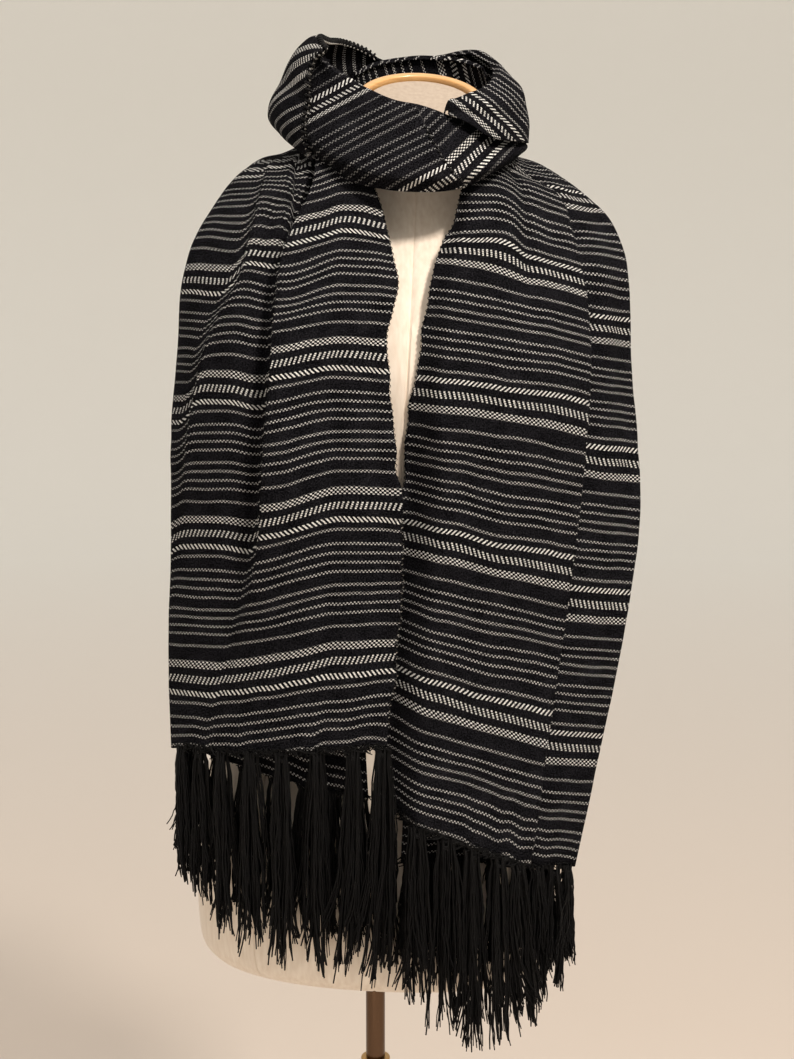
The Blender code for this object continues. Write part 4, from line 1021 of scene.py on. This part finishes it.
def wrap_weave(points, down, turn):
    """The wrap's stripes. Past the beaded selvedge the scarf's other half shows, its stripes mirrored."""
    side, depth = on_slant(points, 27.5, (0.0208, 1.5354))
    slid, picks = np.array(WRAP_PICKS, dtype=float).T
    along = np.interp(depth, slid * MM, picks * PICK)
    other_side, other_along = on_slant(points, 45.0, (0.0208, 1.3558), -1.15)
    beyond = turn > SELVEDGE_TURN + (down - SELVEDGE_DOWN) * SELVEDGE_SLOPE
    return np.where(beyond, other_side, side), np.where(beyond, other_along, along)


def roll_weave(points, down, turn):
    """The right roll's stripes, which slant the other way and lie closer, because the roll turns away."""
    return on_slant(points, -40.4, (0.0208, 1.5439), 1.6)


def lobe_weave(points, down, turn):
    """The left lobe's stripes, measured over the cloth itself: they rise towards its front edge."""
    slant = math.radians(38)
    back, lower = lengths(points, 1), lengths(points, 0)
    side = back * math.cos(slant) + lower * math.sin(slant)
    return side, 0.022 + back * math.sin(slant) - lower * math.cos(slant)


def inner_weave(points, down, turn):
    """Behind the neck the stripes stand nearly upright, because the warp runs round."""
    back, lower = lengths(points, 1), lengths(points, 0)
    return lower - 0.2 * back, 0.100 + back + 0.2 * lower


def wind(name, rows, folds, weave_at, replaced, counts, seed, finish=woven):
    """One stretch round the neck as a sheet, with its thread map."""
    down, turn = np.meshgrid(np.linspace(0, 1, counts[0]), np.linspace(0, 1, counts[1]), indexing="ij")
    points = collar_points(rows, folds, down, turn)
    weave_map = np.stack(weave_at(points, down, turn), axis=-1)
    made = uneven(points, lengths(points, 1), -lengths(points, 0), CRUMPLE, seed)
    piece = lay_sheet(name, made, weave_map, finish, replaced)
    flat = (float(lengths(points, 0)[-1].mean()), float(lengths(points, 1)[:, -1].mean()))
    print(name, "flat:", [round(x, 3) for x in flat], "m")
    return piece, flat, made


neck_front, flat_front, wrap_points = wind(
    "wrap_front", COLLAR_FRONT_SECTIONS, FRONT_WRAP_FOLDS, wrap_weave, "collar_front", WRAP_COUNTS, 41, tight_and_shaded
)
neck_left, flat_lobe, lobe_points = wind(
    "lobe_left", COLLAR_LEFT_SECTIONS, LEFT_LOBE_FOLDS, lobe_weave, "collar_left", (70, 190), 51
)
neck_right, flat_roll, _ = wind(
    "lobe_right", COLLAR_RIGHT_SECTIONS, RIGHT_LOBE_FOLDS, roll_weave, "collar_right", (70, 190), 61
)
neck_back, flat_back, _ = wind(
    "inner_back", COLLAR_BACK_SECTIONS, (), inner_weave, "collar_back", (50, 120), 71
)

# %% [markdown]
# ## The beaded selvedge
# Both long edges are overcast with a thick black yarn that catches a white one, so each edge looks like a
# string of beads. A turn of the overcast yarn is 5.2 mm, and it is wound round the sheet's edge. On the
# hanging ends the edges turn away from the viewer, so only small black stitches show there.

# %% Overcast the edges that show
YARN = 0.68 * MM
STITCH = 5.2 * MM
STITCH_POINTS = 8
WHITE_SHARE = 0.45
# Black cotton yarn: nearly matt, with a faint gleam along each ply.
yarn_black, tree, shader = new_material("Black cotton yarn")
shader.inputs["Base Color"].default_value = linear("070708")
shader.inputs["Roughness"].default_value = 0.6
shader.inputs["Specular IOR Level"].default_value = 0.12
# White cotton yarn: undyed and matt.
yarn_white, tree, shader = new_material("White cotton yarn")
shader.inputs["Base Color"].default_value = linear("C4C2BE")
shader.inputs["Roughness"].default_value = 0.85


def new_yarns(name, finishes):
    """An empty curve for yarns, drawn as thin square rods, which look round at this size."""
    curve = bpy.data.curves.new(name, "CURVE")
    curve.dimensions = "3D"
    curve.bevel_depth = YARN
    curve.bevel_resolution = 0
    for finish in finishes:
        curve.materials.append(finish)
    return curve


def add_yarn(curve, points, thickness, finish=0):
    """One yarn through a list of points, a little thinner at its tip."""
    spline = curve.splines.new("POLY")
    spline.material_index = finish
    spline.points.add(len(points) - 1)
    for i, (target, point) in enumerate(zip(spline.points, points)):
        target.co = (*point, 1.0)
        target.radius = thickness * (1.0 - 0.20 * (i / (len(points) - 1)) ** 6)


def overcast(curve, path, size):
    """Winds black and white stitches round a path of points, one turn for each stitch."""
    run = np.concatenate(([0.0], np.cumsum(np.linalg.norm(np.diff(path, axis=0), axis=1))))
    for stitch in range(int(run[-1] / STITCH)):
        for finish, first, last in ((0, 0.0, 1.0 - WHITE_SHARE), (1, 1.0 - WHITE_SHARE, 1.0)):
            points = []
            for share in np.linspace(first, last, STITCH_POINTS):
                here = (stitch + share) * STITCH
                middle = Vector([float(np.interp(here, run, path[:, k])) for k in range(3)])
                ahead = Vector([float(np.interp(here + 0.001, run, path[:, k])) for k in range(3)]) - middle
                side = ahead.cross(Vector((0.0, -1.0, 0.2))).normalized()
                other = side.cross(ahead).normalized()
                turn = 2 * math.pi * share
                points.append(middle + (side * math.cos(turn) + other * math.sin(turn)) * size)
            add_yarn(curve, points, size / MM * (0.55 if finish else 0.80), finish)


selvedge = new_yarns("selvedge_collar", (yarn_black, yarn_white))
overcast(selvedge, lobe_points[:, 0], 2.2 * MM)
overcast(selvedge, lobe_points[0, :130], 2.2 * MM)
rows_down = np.arange(36, 76, 3)
places_along = SELVEDGE_TURN + (rows_down / (WRAP_COUNTS[0] - 1) - SELVEDGE_DOWN) * SELVEDGE_SLOPE
columns_along = np.round((WRAP_COUNTS[1] - 1) * places_along).astype(int)
overcast(selvedge, wrap_points[rows_down, columns_along] + (0.0, -1.0 * MM, 0.0), 1.1 * MM)
overcast(selvedge, left_points[0, 176:216:3], 1.2 * MM)
edge_collar = place_piece("selvedge_collar", selvedge, "collar_left")
plain_edges = new_yarns("selvedge_ends", (yarn_black, yarn_black))
overcast(plain_edges, left_points[0, 66:176:3], 0.7 * MM)
overcast(plain_edges, right_points[0, 50:217:3], 0.8 * MM)
edge_ends = place_piece("selvedge_ends", plain_edges, "tail_right_front")
print("stitches round the neck:", len(selvedge.splines) // 2)

# %% [markdown]
# ## The tassels
# The warp ends are gathered in bunches and knotted just below the hem. Below the knot the plied yarns
# spread and hang loose in small wisps, with crimped lengths and ragged tips. Each yarn is a thin curve,
# which costs few faces, and its place is drawn by chance from a seed, so every run gives the same fringe.

# %% Knot tassels along hems
TASSEL_COLUMNS = ("place", "half", "tip_z", "fan", "sway")
LEFT_TASSELS = (
    (0.012, 0.0042, 0.730, 0.0060, 0.010),
    (0.096, 0.0046, 0.736, 0.0070, 0.006),
    (0.200, 0.0048, 0.738, 0.0080, 0.002),
    (0.300, 0.0046, 0.745, 0.0080, 0.000),
    (0.395, 0.0048, 0.752, 0.0080, -0.002),
    (0.480, 0.0044, 0.763, 0.0075, -0.002),
    (0.550, 0.0040, 0.782, 0.0060, -0.003),
    (0.608, 0.0036, 0.800, 0.0045, -0.006),
)
LEFT_BACK_TASSELS = (
    (0.735, 0.0034, 0.815, 0.0045, -0.012),
    (0.775, 0.0042, 0.790, 0.0070, -0.002),
    (0.820, 0.0044, 0.775, 0.0080, 0.000),
    (0.865, 0.0044, 0.768, 0.0080, 0.000),
    (0.910, 0.0044, 0.762, 0.0080, 0.001),
    (0.950, 0.0044, 0.756, 0.0070, 0.002),
    (0.985, 0.0042, 0.752, 0.0060, 0.004),
)
RIGHT_TASSELS = (
    (0.030, 0.0042, 0.728, 0.0060, -0.004),
    (0.170, 0.0048, 0.710, 0.0085, 0.000),
    (0.315, 0.0050, 0.686, 0.0090, 0.002),
    (0.455, 0.0050, 0.668, 0.0090, 0.003),
    (0.585, 0.0046, 0.664, 0.0085, 0.006),
    (0.690, 0.0042, 0.676, 0.0070, 0.010),
)
RIGHT_SIDE_TASSELS = (
    (0.225, 0.0040, 0.688, 0.0050, 0.000),
    (0.315, 0.0042, 0.700, 0.0060, 0.000),
    (0.385, 0.0036, 0.720, 0.0045, -0.003),
)
RIGHT_BACK_TASSELS = (
    (0.560, 0.0036, 0.735, 0.0050, -0.006),
    (0.640, 0.0044, 0.722, 0.0085, 0.000),
    (0.730, 0.0044, 0.715, 0.0090, 0.000),
    (0.820, 0.0044, 0.712, 0.0090, 0.000),
    (0.900, 0.0044, 0.718, 0.0080, 0.000),
    (0.970, 0.0042, 0.726, 0.0060, 0.000),
)
YARN_POINTS = 18
WISPS, WISP_YARNS = 20, 4
FRAYS = 640
# The spread of a chance value: how big a wave is and how often it turns, from least to most.
FULL_TURN = 6.3
WAVE_SIZE, WAVE_TURNS = (0.5, 1.5), (5.0, 12.0)
CRIMP_SIZE, CRIMP_TURNS = (0.3, 0.8), (22.0, 40.0)


def two_waves(chance, sizes, turns):
    """Two waves by chance, one each way, as (phase, size, turns)."""
    return [
        (chance.uniform(0, FULL_TURN), chance.uniform(*sizes) * MM, chance.uniform(*turns)) for _ in range(2)
    ]


def hem_frame(end, place):
    """Middle of the cloth's edge at a place along the hem, the direction along it and the one out of it."""
    def hem(x):
        return Vector(end(np.array(x), np.array(1.0)).tolist())

    along = hem(min(place + 0.004, 1.0)) - hem(max(place - 0.004, 0.0))
    along.z = 0.0
    along.normalize()
    return hem(place), along, Vector((0.0, 0.0, 1.0)).cross(along).normalized()


def tassel_yarns(curve, frame_here, row, chance):
    """The yarns of one tassel: gathered at the hem, then spreading in wisps to ragged, crimped tips."""
    centre, side, out = frame_here
    knot = centre - Vector((0.0, 0.0, 0.0050))
    length = knot.z - row["tip_z"]
    for _ in range(WISPS):
        turn, reach = chance.uniform(0, 2 * math.pi), math.sqrt(chance.random())
        across, through = reach * math.cos(turn), reach * math.sin(turn)
        stop = length * (1.05 - 0.34 * chance.random() ** 1.5)
        drift, flick = chance.gauss(0, 0.0038), chance.gauss(0, 0.0045)
        waves = two_waves(chance, WAVE_SIZE, WAVE_TURNS)
        for _ in range(WISP_YARNS):
            crimps = two_waves(chance, CRIMP_SIZE, CRIMP_TURNS)
            apart, behind = chance.gauss(0, 0.0013), chance.gauss(0, 0.0013)
            drop = stop * chance.uniform(0.92, 1.02)
            points = [centre + side * across * 0.0090 + out * through * 0.0020]
            wide = across * row["half"] * 1.6 + apart * 0.3
            points.append(knot + side * wide + out * through * 0.0034)
            for i in range(1, YARN_POINTS - 1):
                share = i / (YARN_POINTS - 2)
                opened = share ** 0.22
                wander = [
                    opened * sum(size * math.sin(phase + turns * share) for phase, size, turns in pair)
                    for pair in zip(waves, crimps)
                ]
                wide = (across * (row["fan"] + 0.0068) + apart) * opened + drift * share ** 1.3
                wide += flick * share ** 5
                wide += row["sway"] * share * share + wander[0]
                deep = (through * 0.0080 + behind) * opened + wander[1]
                points.append(knot + side * wide + out * deep - Vector((0.0, 0.0, drop * share)))
            add_yarn(curve, points, chance.uniform(0.85, 1.25))


def add_fray(curve, end, start, stop, chance):
    """Short loose ends of weft all along a hem, which blur its edge."""
    for _ in range(round(abs(stop - start) * FRAYS)):
        centre, side, out = hem_frame(end, chance.uniform(start, stop))
        lean_side, droop = chance.gauss(0, 0.0030), chance.uniform(0.0010, 0.0060)
        root = centre + Vector((0.0, 0.0, chance.uniform(0.0, 0.0045)))
        root = root + out * (0.0008 + chance.gauss(0, 0.0008))
        middle = root + side * lean_side * 0.7 + out * chance.gauss(0, 0.0010)
        middle = middle - Vector((0.0, 0.0, droop * 0.6))
        add_yarn(curve, [root, middle, middle + side * lean_side - Vector((0.0, 0.0, droop * 0.3))], 0.8)


def add_knot(curve, frame_here, row):
    """Turns of yarn that bind a tassel just below the hem."""
    centre, side, out = frame_here
    points = []
    for i in range(31):
        turn = 2 * math.pi * i / 10
        level = centre - Vector((0.0, 0.0, 0.0052 + 0.0012 * i / 10))
        points.append(level + side * math.cos(turn) * row["half"] * 0.62 + out * math.sin(turn) * 0.0024)
    add_yarn(curve, points, 1.0)


def fringe(name, end, rows, replaced, frayed, seed):
    """A row of tassels along one stretch of hem, with a frayed edge between two places."""
    chance = random.Random(seed)
    curve = new_yarns(name, (yarn_black,))
    for values in rows:
        row = dict(zip(TASSEL_COLUMNS, values))
        here = hem_frame(end, row["place"])
        tassel_yarns(curve, here, row, chance)
        add_knot(curve, here, row)
    add_fray(curve, end, *frayed, chance)
    print(name, "yarns:", len(curve.splines))
    return place_piece(name, curve, replaced)


fringes = [
    fringe("tassels_left", left_end, LEFT_TASSELS, "fringe_left", (0.0, 0.60), 1),
    fringe("tassels_left_back", left_end, LEFT_BACK_TASSELS, "fringe_left_back", (0.72, 1.0), 2),
    fringe("tassels_right", right_end, RIGHT_TASSELS, "fringe_right", (0.0, 0.70), 3),
    fringe("tassels_right_side", under_end, RIGHT_SIDE_TASSELS, "fringe_right_side", (0.15, 0.38), 4),
    fringe("tassels_right_back", under_end, RIGHT_BACK_TASSELS, "fringe_right_back", (0.50, 1.0), 5),
]
